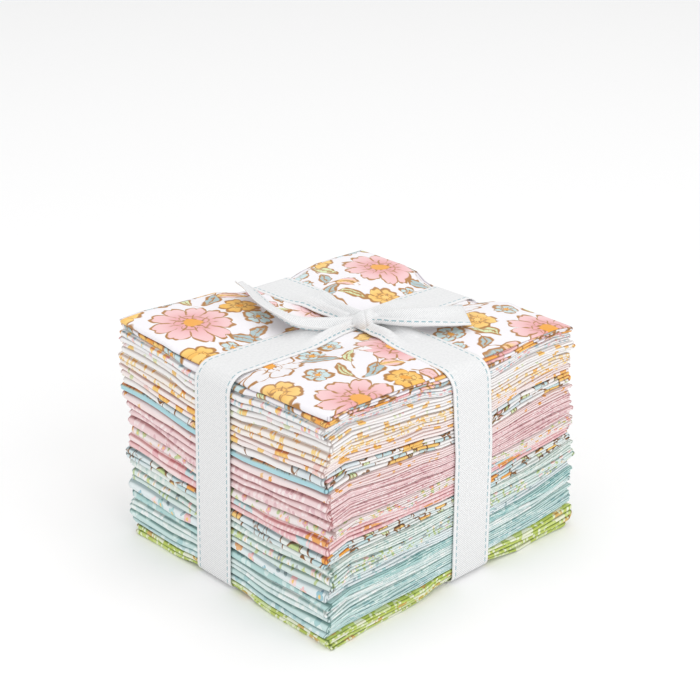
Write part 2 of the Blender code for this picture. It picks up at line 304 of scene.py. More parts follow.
class Spots:
    """Middles scattered over the cloth, one in each square, and what is known of the nearest one."""

    def __init__(self, work: NodeWork, place: Socket, pitch: float, spread: float) -> None:
        """Scatters the middles.

        Args:
            work: the tree that the nodes go into.
            place: where the point is on the flat cloth, in millimetres.
            pitch: side of a square, in millimetres.
            spread: how far the middles leave the squares' own, from 0 to 1.
        """
        given = {"Vector": place, "Scale": 1 / pitch, "Randomness": spread}
        node = work.fed("ShaderNodeTexVoronoi", given, voronoi_dimensions="2D", feature="F1")
        self.work, self.place, self.outputs = work, place, node.outputs

    def chances(self) -> tuple[Number, Number, Number]:
        """Three numbers from 0 to 1 that each middle has for its own."""
        return self.work.parts(self.outputs["Color"])

    def distance(self) -> Number:
        """How far the nearest middle is, in squares."""
        return Number(self.work, self.outputs["Distance"])

    def away(self) -> Socket:
        """The way from the nearest middle, in millimetres."""
        middle = self.work.vector("MULTIPLY", self.outputs["Position"], (1.0, 1.0, 0.0))
        return self.work.vector("SUBTRACT", self.place, middle)


def blank_material(
    name: str, roughness: float, sheen: float
) -> tuple[bpy.types.Material, NodeWork, bpy.types.Node]:
    """Makes a material that waits for its colour.

    Args:
        name: the material's name.
        roughness: how matt it is, from 0 to 1.
        sheen: how much light its fibres catch at a slant, from 0 to 1.

    Returns:
        The material, the node work of its tree and its surface node.
    """
    material = bpy.data.materials.new(name)
    material.use_nodes = True
    surface = material.node_tree.nodes["Principled BSDF"]
    surface.inputs["Roughness"].default_value = roughness
    surface.inputs["Sheen Weight"].default_value = sheen
    return material, NodeWork(material.node_tree), surface


class MotifKind(Enum):
    """The drawings that the large floral print is made of."""

    FLOWER = "flower"
    LEAF = "leaf"


class Motif(NamedTuple):
    """One drawing on the print's tile: its middle and half size in millimetres, its turn in degrees, a
    flower's number of petals or a leaf's breadth, and the names of its outer and inner colours."""

    kind: MotifKind
    x: float
    y: float
    size: float
    turn: float
    shape: float
    outer: str
    inner: str


F, L = MotifKind.FLOWER, MotifKind.LEAF
TILE = (91.5, 98.5)
LAYOUT = (
    Motif(L, 29.9, 39.6, 8.0, 40.0, 0.40, "leaf", "leaf"),
    Motif(L, 49.3, 46.6, 7.5, -60.0, 0.38, "leaf", "leaf"),
    Motif(L, 2.6, 35.2, 8.0, 100.0, 0.40, "leaf", "leaf"),
    Motif(L, 87.1, 35.2, 8.0, 35.0, 0.40, "leaf", "leaf"),
    Motif(L, 60.7, 70.4, 8.0, -20.0, 0.40, "leaf", "leaf"),
    Motif(L, 23.8, 90.6, 7.5, 60.0, 0.38, "leaf", "leaf"),
    Motif(L, 70.4, 93.3, 7.0, 120.0, 0.38, "leaf", "leaf"),
    Motif(L, 51.9, 5.3, 7.0, 15.0, 0.36, "sprig", "sprig"),
    Motif(L, 35.2, 50.2, 7.0, 130.0, 0.28, "sprig", "sprig"),
    Motif(L, 75.7, 60.7, 7.0, 80.0, 0.28, "sprig", "sprig"),
    Motif(L, 4.4, 69.5, 8.0, -40.0, 0.28, "sprig", "sprig"),
    Motif(L, 27.3, 2.6, 7.0, -25.0, 0.28, "sprig", "sprig"),
    Motif(L, 6.8, 3.4, 7.0, 150.0, 0.42, "leaf", "leaf"),
    Motif(L, 84.0, 43.5, 5.6, 115.0, 0.40, "leaf", "leaf"),
    Motif(L, 11.2, 73.0, 6.0, 20.0, 0.40, "leaf", "leaf"),
    Motif(L, 58.5, 97.0, 6.0, -35.0, 0.42, "leaf", "leaf"),
    Motif(L, 44.2, 39.2, 6.4, 165.0, 0.32, "sprig", "sprig"),
    Motif(L, 78.0, 96.6, 6.6, 35.0, 0.30, "sprig", "sprig"),
    Motif(L, 60.8, 79.2, 5.6, -70.0, 0.30, "sprig", "sprig"),
    Motif(L, 17.2, 97.8, 5.4, 120.0, 0.62, "bud", "bright"),
    Motif(L, 66.4, 62.0, 4.8, 10.0, 0.62, "bud", "bud"),
    Motif(L, 50.2, 57.2, 5.5, 70.0, 0.66, "bud", "bright"),
    Motif(L, 19.4, 72.2, 5.5, -100.0, 0.66, "bright", "bright"),
    Motif(L, 69.5, 3.5, 5.0, 30.0, 0.66, "bud", "bright"),
    Motif(L, 90.6, 54.6, 5.5, -60.0, 0.66, "bright", "bud"),
    Motif(F, 40.5, 29.0, 5.4, 10.0, 5.0, "small", "small"),
    Motif(F, 74.8, 50.2, 5.6, 40.0, 5.0, "small", "small"),
    Motif(F, 18.5, 54.6, 5.2, 75.0, 4.0, "small", "small"),
    Motif(F, 54.6, 87.1, 5.6, 20.0, 5.0, "small", "small"),
    Motif(F, 42.4, 93.6, 6.4, 55.0, 5.0, "small", "small"),
    Motif(F, 88.2, 24.2, 5.6, 25.0, 5.0, "small", "small"),
    Motif(F, 21.6, 43.2, 5.4, 5.0, 5.0, "small", "small"),
    Motif(F, 41.4, 10.6, 8.2, 15.0, 5.0, "bright", "amber"),
    Motif(F, 5.3, 51.0, 8.6, 50.0, 5.0, "bright", "amber"),
    Motif(F, 62.5, 51.0, 7.8, -20.0, 5.0, "amber", "bright"),
    Motif(F, 8.8, 87.1, 8.4, 30.0, 5.0, "bright", "amber"),
    Motif(F, 85.4, 8.8, 7.6, 5.0, 5.0, "bright", "amber"),
    Motif(F, 17.6, 22.0, 15.5, 20.0, 7.0, "plain", "plain"),
    Motif(F, 65.1, 26.4, 16.5, 75.0, 9.0, "petal", "deep"),
    Motif(F, 37.0, 70.4, 15.8, 140.0, 8.0, "petal", "deep"),
    Motif(F, 80.1, 75.7, 14.6, 10.0, 6.0, "plain", "petal"),
)


class Drawing:
    """A node group that lays one motif over the cloth's colour. Its lengths are in the motif's half sizes."""

    INPUTS = {
        "Under": "Color",
        "Place": "Vector",
        "Middle": "Vector",
        "Size": "Float",
        "Turn": "Float",
        "Shape": "Float",
        "Outer": "Color",
        "Inner": "Color",
        "Heart": "Color",
        "Line": "Color",
        "Pressure": "Float",
    }
    OUTPUTS = {"Colour": "Color", "Next place": "Vector"}
    WAIT = 1e-7
    LINE_EDGE = 0.35
    ROUNDNESS = 0.5
    PETAL_ROOT = 0.68
    PETAL_LENGTH = 0.30
    TIP_SHARPNESS = 26.0
    TIP_DENT = 0.07
    FLOWER_EDGE = (0.0, 0.02)
    FLOWER_SHADE = (0.25, 0.85)
    SEAM_PEN = 0.7
    SEAM_START = (0.40, 0.55)
    VEIN_PEN = 0.45
    VEIN_END = (0.62, 0.45)
    WHORL_LOBES = 2.5
    WHORL_TURN = 0.7
    WHORL_ROOT = 0.30
    WHORL_LENGTH = 0.12
    WHORL_PEN = 0.55
    WHORL_INK = 0.75
    HEART_EDGE = (0.23, 0.20)
    RING = 0.235
    RING_EDGE = (0.045, 0.02)
    STAMENS = 9.0
    STAMEN_EDGE = (0.0, 0.3)
    LEAF_BEND = 0.20
    LEAF_TAPER = 0.35
    LEAF_END = (1.06, 1.0)
    LEAF_EDGE = (0.0, 0.03)
    LEAF_SHADE = (0.0, 0.45)
    RIM_PEN = 0.9
    RIB_PEN = 0.55
    RIB_END = (0.62, 0.5)
    STALK_END = (-1.75, -1.6)
    SIDE_VEINS = 3.6
    SIDE_VEIN_SLANT = 3.2
    SIDE_VEIN_PITCH = 0.28
    SIDE_VEIN_PEN = 0.35
    SIDE_VEIN_END = (0.22, 0.12)
    SIDE_VEIN_INK = 0.6

    def __init__(self, kind: MotifKind) -> None:
        """Draws the motif once, for every cloth that has it.

        Args:
            kind: which motif it is.
        """
        self.tree = bpy.data.node_groups.new(kind.value, "ShaderNodeTree")
        for way, sockets in (("INPUT", self.INPUTS), ("OUTPUT", self.OUTPUTS)):
            for name, socket in sockets.items():
                self.tree.interface.new_socket(name=name, in_out=way, socket_type=f"NodeSocket{socket}")
        work = self.work = NodeWork(self.tree)
        self.given = work.add("NodeGroupInput").outputs
        self.size, self.shape = Number(work, self.given["Size"]), Number(work, self.given["Shape"])
        colour = self.flower() if kind is MotifKind.FLOWER else self.leaf()
        # The next motif's place waits for this one's colour, so the shader works on one motif at a time.
        place = work.vector("MULTIPLY_ADD", colour, (self.WAIT, self.WAIT, 0.0), self.given["Place"])
        work.fed("NodeGroupOutput", {0: colour, 1: place})

    def local(self) -> Socket:
        """Measures the place from the motif's middle, turned with it.

        Returns:
            The measured place, in the motif's own half sizes.
        """
        work, given = self.work, self.given
        half = (TILE[0] / 2, TILE[1] / 2, 1.0)
        away = work.vector("SUBTRACT", given["Place"], given["Middle"])
        away = work.vector("WRAP", away, half, tuple(-value for value in half))
        turn = Number(work, given["Turn"]) * (-math.pi / 180)
        shrink = 1.0 / self.size
        return work.vector("MULTIPLY", work.turned(away, turn), work.whole(shrink, shrink))

    def stroke(self, distance: Number, weight: float = 1.0) -> Number:
        """The pen's line where a distance is near nought.

        Args:
            distance: how far the point is from the line.
            weight: the line's breadth against the pen's.

        Returns:
            How much ink lies there, from 0 to 1.
        """
        wide = Number(self.work, self.given["Pressure"]) * weight / self.size
        return self.work.rise(abs(distance), wide, wide * self.LINE_EDGE)

    def flower(self) -> Socket:
        """Draws an open flower: a scalloped rim, a smaller whorl in it, pen lines and a heart.

        Returns:
            The colour at the place.
        """
        work, given = self.work, self.given
        place = self.local()
        x, y, _ = work.parts(place)
        reach, angle = work.length(place), work.math("ARCTAN2", y, x)
        half_turns = angle * (self.shape * 0.5)
        lobe = abs(half_turns.sine())
        tip = lobe ** self.TIP_SHARPNESS * -self.TIP_DENT
        rim = tip + (lobe ** self.ROUNDNESS * self.PETAL_LENGTH + self.PETAL_ROOT)
        inside = work.rise(rim - reach, *self.FLOWER_EDGE)
        tone = work.mix(work.rise(reach, *self.FLOWER_SHADE), given["Inner"], given["Outer"])
        colour = work.mix(inside, given["Under"], tone)

        pair = 2.0 / self.shape
        between = self.stroke(lobe * reach * pair, self.SEAM_PEN) * work.rise(reach, *self.SEAM_START)
        vein = abs(work.math("COSINE", half_turns)) * reach * pair
        veins = self.stroke(vein, self.VEIN_PEN) * work.rise(reach, *self.VEIN_END)
        whorl_lobe = abs((angle * self.WHORL_LOBES + self.WHORL_TURN).sine())
        whorl = whorl_lobe ** self.ROUNDNESS * self.WHORL_LENGTH + self.WHORL_ROOT
        whorl_line = self.stroke(whorl - reach, self.WHORL_PEN) * self.WHORL_INK
        inner_lines = whorl_line.or_more(between.or_more(veins)) * inside
        lines = self.stroke(rim - reach).or_more(inner_lines)
        colour = work.mix(lines, colour, given["Line"])

        colour = work.mix(work.rise(reach, *self.HEART_EDGE), colour, given["Heart"])
        ring = work.rise(abs(reach - self.RING), *self.RING_EDGE)
        stamens = ring * work.rise((angle * self.STAMENS).sine() * 0.5, *self.STAMEN_EDGE)
        return work.mix(stamens, colour, given["Line"])

    def leaf(self) -> Socket:
        """Draws a bent leaf or bud with its rim, midrib, side veins and a short stalk.

        Returns:
            The colour at the place.
        """
        work, given = self.work, self.given
        x, y, _ = work.parts(self.local())
        side = abs(y - (x * x * -self.LEAF_BEND + self.LEAF_BEND))
        half = (x * x * -1.0 + 1.0) * (x * -self.LEAF_TAPER + 1.0) * self.shape
        within = work.rise(abs(x), *self.LEAF_END)
        inside = work.rise(half - side, *self.LEAF_EDGE) * within
        tone = work.mix(work.rise(side, *self.LEAF_SHADE), given["Inner"], given["Outer"])
        colour = work.mix(inside, given["Under"], tone)
        rim_line = self.stroke(half - side, self.RIM_PEN) * within
        rib = self.stroke(side, self.RIB_PEN) * (work.rise(x, *self.RIB_END) * work.rise(x, *self.STALK_END))
        comb = side * -self.SIDE_VEIN_SLANT + x * self.SIDE_VEINS
        tooth = abs(work.math("FRACT", comb) - 0.5)
        near_rib = work.rise(side, *self.SIDE_VEIN_END) * self.SIDE_VEIN_INK
        veins = self.stroke(tooth * self.SIDE_VEIN_PITCH, self.SIDE_VEIN_PEN) * inside * near_rib
        return work.mix(rim_line.or_more(rib.or_more(veins)), colour, given["Line"])


DRAWINGS: dict[MotifKind, Drawing] = {}


class Print:
    """What every printed cloth can do: give its colour at a place on the flat cloth."""

    def colour(self, work: NodeWork, place: Socket) -> Socket:
        """Colour of the printed side.

        Args:
            work: the tree that the nodes go into.
            place: where the point is on the flat cloth, in millimetres.

        Returns:
            The colour's socket.
        """
        raise NotImplementedError


@dataclass(frozen=True)
class LargeFloral(Print):
    """Big outlined flowers, small ones, leaves and buds, scattered on a plain ground."""

    ground: Colour = Hue.LILAC_WHITE
    petal: Colour = Hue.PINK
    deep: Colour = (0.91, 0.66, 0.67)
    plain: Colour = (0.95, 0.94, 0.95)
    bright: Colour = Hue.YELLOW
    warm: Colour = Hue.ORANGE
    amber: Colour = Hue.AMBER
    small: Colour = Hue.PALE_BLUE
    leaf: Colour = Hue.GREY_TEAL
    sprig: Colour = (0.86, 0.91, 0.72)
    bud: Colour = Hue.PINK
    line: Colour = Hue.GOLD_BROWN
    pressure: float = 0.8
    light_hand: float = 0.22
    heavy_hand: float = 1.15
    shake: float = 2.6
    shake_scale: float = 0.16
    press_scale: float = 0.22
    press_range: tuple[float, float] = (0.30, 0.58)
    scale: float = 1.08
    band: Colour | None = None
    band_middle: float = 137.0
    band_half: float = 6.0
    band_edge: float = 0.6

    def colour(self, work: NodeWork, place: Socket) -> Socket:
        """Lays the motifs of the tile over the ground, from the back ones to the front ones.

        Args:
            work: the tree that the nodes go into.
            place: where the point is on the flat cloth, in millimetres.

        Returns:
            The colour's socket.
        """
        hand = work.vector("SUBTRACT", work.noise(place, self.shake_scale).outputs["Color"], (0.5, 0.5, 0.5))
        shrunk = work.vector("MULTIPLY", place, (1 / self.scale, 1 / self.scale, 0.0))
        drawn = work.vector("MULTIPLY_ADD", hand, (self.shake, self.shake, 0.0), shrunk)
        press = work.rise(work.cloud(place, self.press_scale), *self.press_range)
        pen = press * (self.heavy_hand * self.pressure) + self.light_hand * self.pressure
        colour: Feed = linear(self.ground)
        for motif in LAYOUT:
            if motif.kind not in DRAWINGS:
                DRAWINGS[motif.kind] = Drawing(motif.kind)
            given = {
                "Under": colour,
                "Place": drawn,
                "Middle": (motif.x, motif.y, 0.0),
                "Size": motif.size,
                "Turn": motif.turn,
                "Shape": motif.shape,
                "Outer": linear(getattr(self, motif.outer)),
                "Inner": linear(getattr(self, motif.inner)),
                "Heart": linear(self.bright if motif.outer == "bright" else self.warm),
                "Line": linear(self.line),
                "Pressure": pen,
            }
            node = work.add("ShaderNodeGroup")
            node.node_tree = DRAWINGS[motif.kind].tree
            for name, value in given.items():
                work.feed(node.inputs[name], value)
            colour, drawn = node.outputs
        if self.band:
            _, along, _ = work.parts(place)
            away = abs(along - self.band_middle)
            in_band = work.rise(away, self.band_half, self.band_half - self.band_edge)
            colour = work.mix(in_band, colour, self.band)
        return colour


@dataclass(frozen=True)
class Ditsy(Print):
    """Small flowers in several colours and scattered leaf dashes on a plain ground."""

    ground: Colour
    tones: tuple[Colour, ...]
    heart: Colour = Hue.YELLOW
    leaf: Colour = Hue.GREEN
    pitch: float = 8.0
    half: float = 2.6
    leaf_pitch: float = 4.6
    leaf_share: float = 0.65
    spread: float = 0.55
    leaf_spread: float = 0.8
    leaf_turns: float = 6.28
    leaf_breadth: float = 0.45
    leaf_edge: tuple[float, float] = (0.62, 0.45)
    lobes: float = 2.5
    lobe_turn: float = 3.0
    petal_root: float = 0.65
    petal_length: float = 0.35
    least_size: float = 0.75
    size_range: float = 0.4
    rim_edge: float = 0.18
    heart_edge: tuple[float, float] = (0.32, 0.22)

    def colour(self, work: NodeWork, place: Socket) -> Socket:
        """Draws leaf dashes, then one flower round each middle.

        Args:
            work: the tree that the nodes go into.
            place: where the point is on the flat cloth, in millimetres.

        Returns:
            The colour's socket.
        """
        scatter = Spots(work, place, self.leaf_pitch, self.leaf_spread)
        chance, tilt, _ = scatter.chances()
        x, y, _ = work.parts(work.turned(scatter.away(), tilt * self.leaf_turns))
        dash = work.length(work.whole(x * self.leaf_breadth, y))
        shown = work.rise(dash, *self.leaf_edge) * (chance < self.leaf_share)
        colour = work.mix(shown, self.ground, self.leaf)

        bloom = Spots(work, place, self.pitch, self.spread)
        chance, size, _ = bloom.chances()
        away = bloom.away()
        x, y, _ = work.parts(away)
        reach, angle = work.length(away), work.math("ARCTAN2", y, x)
        lobe = abs((angle * self.lobes + size * self.lobe_turn).sine())
        own_half = size * (self.size_range * self.half) + self.least_size * self.half
        rim = (lobe * self.petal_length + self.petal_root) * own_half
        colour = work.mix(work.rise(rim - reach, 0.0, self.rim_edge), colour, work.pick(chance, self.tones))
        in_heart = work.rise(reach, *(share * self.half for share in self.heart_edge))
        return work.mix(in_heart, colour, self.heart)


@dataclass(frozen=True)
class Tonal(Print):
    """A ground with a soft scatter of its own lighter and darker tone."""

    ground: Colour
    light: Colour
    dark: Colour
    scale: float = 0.30
    light_share: float = 0.45
    dark_share: float = 0.25
    spread: float = 0.9
    patch_edge: tuple[float, float] = (0.42, 0.34)

    def colour(self, work: NodeWork, place: Socket) -> Socket:
        """Lays petal-like patches of the two tones on the ground.

        Args:
            work: the tree that the nodes go into.
            place: where the point is on the flat cloth, in millimetres.

        Returns:
            The colour's socket.
        """
        patch = Spots(work, place, 1 / self.scale, self.spread)
        _, pick, _ = patch.chances()
        shape = work.rise(patch.distance(), *self.patch_edge)
        colour = work.mix(shape * (pick > 1 - self.light_share), self.ground, self.light)
        return work.mix(shape * (pick < self.dark_share), colour, self.dark)


@dataclass(frozen=True)
class Blocks(Print):
    """Broad patches of several colours, as in a patchwork print, with small spots over them."""

    tones: tuple[Colour, ...]
    spot: Colour
    pitch: float = 22.0
    spot_pitch: float = 4.2
    spread: float = 1.0
    spot_spread: float = 0.9
    spot_edge: tuple[float, float] = (0.30, 0.20)

    def colour(self, work: NodeWork, place: Socket) -> Socket:
        """Fills each patch with one tone.

        Args:
            work: the tree that the nodes go into.
            place: where the point is on the flat cloth, in millimetres.

        Returns:
            The colour's socket.
        """
        chance, _, _ = Spots(work, place, self.pitch, self.spread).chances()
        small = Spots(work, place, self.spot_pitch, self.spot_spread)
        shown = work.rise(small.distance(), *self.spot_edge)
        return work.mix(shown, work.pick(chance, self.tones), self.spot)


class Cloth(Enum):
    """The bundle's prints, by the fat quarter that wears them, from the floor up."""

    GREEN_PATCH = Blocks(
        (
            (0.81, 0.87, 0.51), (0.94, 0.95, 0.87), (0.73, 0.80, 0.37), (0.85, 0.90, 0.66),
            (0.77, 0.84, 0.43), (0.93, 0.94, 0.85), (0.76, 0.82, 0.40), (0.86, 0.72, 0.40),
        ),
        (0.93, 0.95, 0.84), 5.0, 2.6,
    )
    LIGHT_BLUE = Tonal((0.79, 0.89, 0.89), (0.90, 0.95, 0.95), (0.68, 0.83, 0.84))
    LIGHT_AQUA = Tonal((0.80, 0.895, 0.885), (0.90, 0.955, 0.945), (0.68, 0.83, 0.83), 0.22)
    AQUA_PATCH = Blocks(
        (
            (0.85, 0.915, 0.91), (0.94, 0.965, 0.955), (0.88, 0.93, 0.92), (0.95, 0.965, 0.96),
            (0.83, 0.90, 0.895),
        ),
        (0.88, 0.935, 0.93), 5.0, 3.0,
    )
    AQUA_TONAL = Tonal((0.73, 0.865, 0.855), (0.86, 0.935, 0.925), (0.61, 0.79, 0.79))
    BLUE_DITSY = Ditsy(
        (0.90, 0.935, 0.94), (Hue.AQUA, (0.93, 0.72, 0.50), Hue.PINK, (0.62, 0.78, 0.83), Hue.PALE_PINK),
        leaf=Hue.GREY_TEAL, pitch=8.0, half=2.3, leaf_pitch=4.6, leaf_share=0.35,
    )
    AQUA_DITSY = Ditsy(
        (0.86, 0.915, 0.90), (Hue.WHITE, (0.80, 0.86, 0.58), Hue.PALE_PINK, (0.66, 0.71, 0.72), Hue.WHITE),
        heart=(0.93, 0.86, 0.66), leaf=(0.76, 0.83, 0.60),
        pitch=4.6, half=1.4, leaf_pitch=3.0, leaf_share=0.5,
    )
    AQUA_PLAIN = Tonal((0.88, 0.925, 0.905), (0.94, 0.96, 0.945), (0.75, 0.85, 0.83), 0.5)
    BLUE_FLORAL = LargeFloral(
        ground=(0.92, 0.94, 0.93), line=Hue.BROWN, small=Hue.AQUA, plain=Hue.PALE_BLUE, leaf=Hue.GREEN,
        petal=(0.88, 0.92, 0.925), deep=(0.83, 0.89, 0.90), bud=Hue.YELLOW,
        pressure=0.6, scale=0.9,
    )
    ROSE_PATCH = Blocks(
        (
            Hue.PINK, (0.94, 0.77, 0.78), Hue.PALE_PINK, (0.95, 0.80, 0.81), (0.93, 0.66, 0.36), Hue.PINK,
            (0.93, 0.74, 0.76), Hue.PALE_BLUE, Hue.PALE_PINK,
        ),
        (0.96, 0.86, 0.86), 11.0, 2.4,
    )
    WHITE_DITSY = Ditsy(
        (0.955, 0.92, 0.915), ((0.93, 0.72, 0.74), (0.82, 0.87, 0.66), (0.95, 0.76, 0.46), Hue.PALE_PINK),
        leaf=(0.76, 0.83, 0.60), pitch=4.8, half=1.45, leaf_pitch=3.0, leaf_share=0.4,
    )
    PINK_TONAL = Tonal((0.945, 0.835, 0.84), (0.97, 0.905, 0.905), (0.89, 0.73, 0.75), 0.45)
    ROSE_TONAL = Tonal((0.95, 0.84, 0.845), (0.975, 0.91, 0.91), (0.90, 0.75, 0.77), 0.36)
    PALE_PINK_TONAL = Tonal((0.955, 0.85, 0.855), (0.98, 0.92, 0.92), (0.90, 0.74, 0.76), 0.5)
    PINK_SPOT = Ditsy(
        (0.965, 0.895, 0.89), (Hue.ORANGE, (0.95, 0.78, 0.56), Hue.PALE_PINK),
        heart=(0.95, 0.74, 0.48), pitch=6.4, half=1.1, leaf_share=0.0, spread=0.9,
    )
    WHITE_FLORAL = LargeFloral(
        ground=Hue.WHITE, line=Hue.BROWN, small=Hue.PALE_BLUE, leaf=Hue.GREEN, plain=Hue.PALE_PINK,
        petal=(0.89, 0.92, 0.93), deep=(0.82, 0.88, 0.90),
        pressure=0.6, scale=0.9, band=(0.68, 0.85, 0.88), band_middle=134.2, band_half=2.4,
    )
    ORANGE_BLOSSOM = Ditsy(
        (0.965, 0.92, 0.91), (Hue.AMBER, Hue.YELLOW, (0.95, 0.81, 0.78), (0.95, 0.72, 0.36)),
        leaf=(0.84, 0.87, 0.68), pitch=8.0, half=2.6, leaf_pitch=5.0, leaf_share=0.2, spread=0.85,
    )
    CREAM_YELLOW = Ditsy(
        (0.965, 0.935, 0.91), ((0.97, 0.84, 0.54), (0.97, 0.87, 0.64), Hue.AMBER),
        heart=Hue.WHITE, leaf=(0.96, 0.84, 0.56),
        pitch=5.4, half=1.6, leaf_pitch=2.4, leaf_share=0.3, spread=0.95,
    )
    CREAM_FLORAL = Ditsy(
        (0.965, 0.955, 0.95), (Hue.YELLOW, (0.95, 0.78, 0.50), Hue.PALE_PINK, (0.88, 0.91, 0.76)),
        leaf=(0.90, 0.92, 0.80), pitch=9.0, half=2.0, leaf_pitch=4.6, leaf_share=0.2, spread=0.9,
    )
    GREY_DITSY = Ditsy(
        (0.95, 0.945, 0.945), (Hue.PINK, (0.85, 0.91, 0.925), (0.94, 0.74, 0.77), Hue.PINK, Hue.YELLOW),
        leaf=(0.80, 0.87, 0.89), pitch=4.0, half=1.3, leaf_pitch=2.6, leaf_share=0.4, spread=0.9,
    )
    LILAC_FLORAL = LargeFloral()


@dataclass(frozen=True)
class Cotton:
    """Matt quilting cotton: a print on the right side, its pale ghost on the wrong side, a plain weave, and
    painted shade deep in the creases between its folds.
    """

    roughness: float = 0.88
    sheen: float = 0.12
    specular: float = 0.25
    thread: float = 0.38
    weave_depth: float = 0.012
    weave_strength: float = 0.5
    crinkle_depth: float = 0.35
    crinkle_strength: float = 0.35
    crinkle_scale: float = 0.11
    crinkle_detail: float = 3.0
    ghost: float = 0.62
    fading: float = 0.05
    fading_scale: float = 0.03
    fading_detail: float = 2.0
    fading_range: tuple[float, float] = (0.3, 0.7)
    # Painted shade deep in the creases: how dark, how narrow and how grey it is.
    crease_shade_gamma: float = 5.0
    crease_shade_edge: float = 2.4
    crease_shade_grey: float = 0.45
    crease_shade: Colour = (0.30, 0.27, 0.27)

    def material(self, cloth: Cloth, wrong_side: bool) -> bpy.types.Material:
        """Makes one side of one cloth.

        Args:
            cloth: whose print it is.
            wrong_side: whether the unprinted side is meant.

        Returns:
            The material.
        """
        name = f"{cloth.name.lower()}_{'wrong' if wrong_side else 'right'}_side"
        material, work, surface = blank_material(name, self.roughness, self.sheen)
        surface.inputs["Specular IOR Level"].default_value = self.specular
        place = work.cloth_place()
        colour = cloth.value.colour(work, place)
        if wrong_side:
            colour = work.mix(self.ghost, colour, Hue.WHITE)
        # Painted shade deep in the creases between folds.
        colour = self.crease_shaded(work, colour)
        cloud = work.cloud(place, self.fading_scale, self.fading_detail)
        faded = work.rise(cloud, *self.fading_range) * self.fading
        work.feed(surface.inputs["Base Color"], work.mix(faded, colour, Hue.BRIGHT_WHITE))
        work.feed(surface.inputs["Normal"], self.relief(work, place))
        return material

    def crease_shaded(self, work: NodeWork, colour: Socket) -> Socket:
        """Paints shade into a colour where the cloth lies deep between two folds.

        Args:
            work: the tree that the nodes go into.
            colour: the cloth's own colour.

        Returns:
            The colour with the shade painted into its creases.
        """
        # The crease attribute weighs the painted shade: a gamma-darkened colour mixed with a greyed one.
        depth = Number(work, work.add("ShaderNodeAttribute", attribute_name="crease").outputs["Fac"])
        deep = work.fed("ShaderNodeGamma", {"Color": colour, "Gamma": self.crease_shade_gamma}).outputs[0]
        shade_grey = work.vector("MULTIPLY", colour, self.crease_shade)
        return work.mix(depth ** self.crease_shade_edge, colour, work.mix(self.crease_shade_grey, deep, shade_grey))

    def relief(self, work: NodeWork, place: Socket) -> Socket:
        """Makes the bumps of the plain weave and of the soft unevenness of folded cloth.

        Args:
            work: the tree that the nodes go into.
            place: where the point is on the flat cloth, in millimetres.

        Returns:
            The surface's direction.
        """
        x, y, _ = work.parts(place)
        across, along = ((value * (2 * math.pi / self.thread)).sine() for value in (x, y))
        weave = work.bump(across * along, self.weave_strength, self.weave_depth)
        crinkle = work.cloud(place, self.crinkle_scale, self.crinkle_detail)
        return work.bump(crinkle, self.crinkle_strength, self.crinkle_depth, weave)


@dataclass(frozen=True)
class Tape:
    """White twill tape with a dashed line of coloured thread inside each edge, in millimetres."""

    width: float = 21.0
    inset: float = 1.8
    dash: float = 2.1
    pitch: float = 3.0
    dash_end: float = 0.25
    thread: float = 0.34
    rib: float = 0.95
    selvedge: float = 1.2
    selvedge_ink: float = 0.8
    thread_ink: float = 0.8
    grain_scale: float = 0.9
    grain_detail: float = 2.0
    grain_share: float = 1.6
    grain_range: tuple[float, float] = (-0.4, 2.0)
    rib_share: float = 0.4
    relief: float = 0.06
    relief_strength: float = 0.6
    roughness: float = 0.62
    sheen: float = 0.25

    def material(self) -> bpy.types.Material:
        """Draws the tape on the ribbon's own length and width.

        Returns:
            The new material.
        """
        material, work, surface = blank_material("white_twill_tape", self.roughness, self.sheen)
        place = work.cloth_place()
        across, along, _ = work.parts(place)
        edge = work.math("MINIMUM", across, self.width - across)
        on_line = work.rise(abs(edge - self.inset), self.thread, self.thread * 0.5)
        step = work.math("WRAP", along, self.pitch, 0.0)
        on_dash = work.rise(step, 0.0, self.dash_end) * work.rise(step, self.dash, self.dash - self.dash_end)
        stitch = on_line * on_dash
        ribs = ((across + along) * (2 * math.pi / self.rib)).sine()
        grain = work.cloud(place, self.grain_scale, self.grain_detail) * self.grain_share + ribs
        margin = work.rise(edge, self.selvedge, self.selvedge * 0.7)
        colour = work.mix(work.rise(grain, *self.grain_range), Hue.TAPE_SHADE, Hue.TAPE)
        colour = work.mix(margin * self.selvedge_ink, colour, Hue.TAPE)
        work.feed(surface.inputs["Base Color"], work.mix(stitch * self.thread_ink, colour, Hue.TEAL))
        height = ribs * self.rib_share + (margin + stitch)
        work.feed(surface.inputs["Normal"], work.bump(height, self.relief_strength, self.relief))
        return material


class FatQuarter(NamedTuple):
    """One row of the stack: its record slot, its cloth, its height with the gap over it in millimetres,
    its leaves, how far each side stands out of the square, and where its print starts."""

    slot: str
    cloth: Cloth
    height: float
    leaves: int
    left: float
    right: float
    front: float
    back: float
    print_x: float
    print_y: float


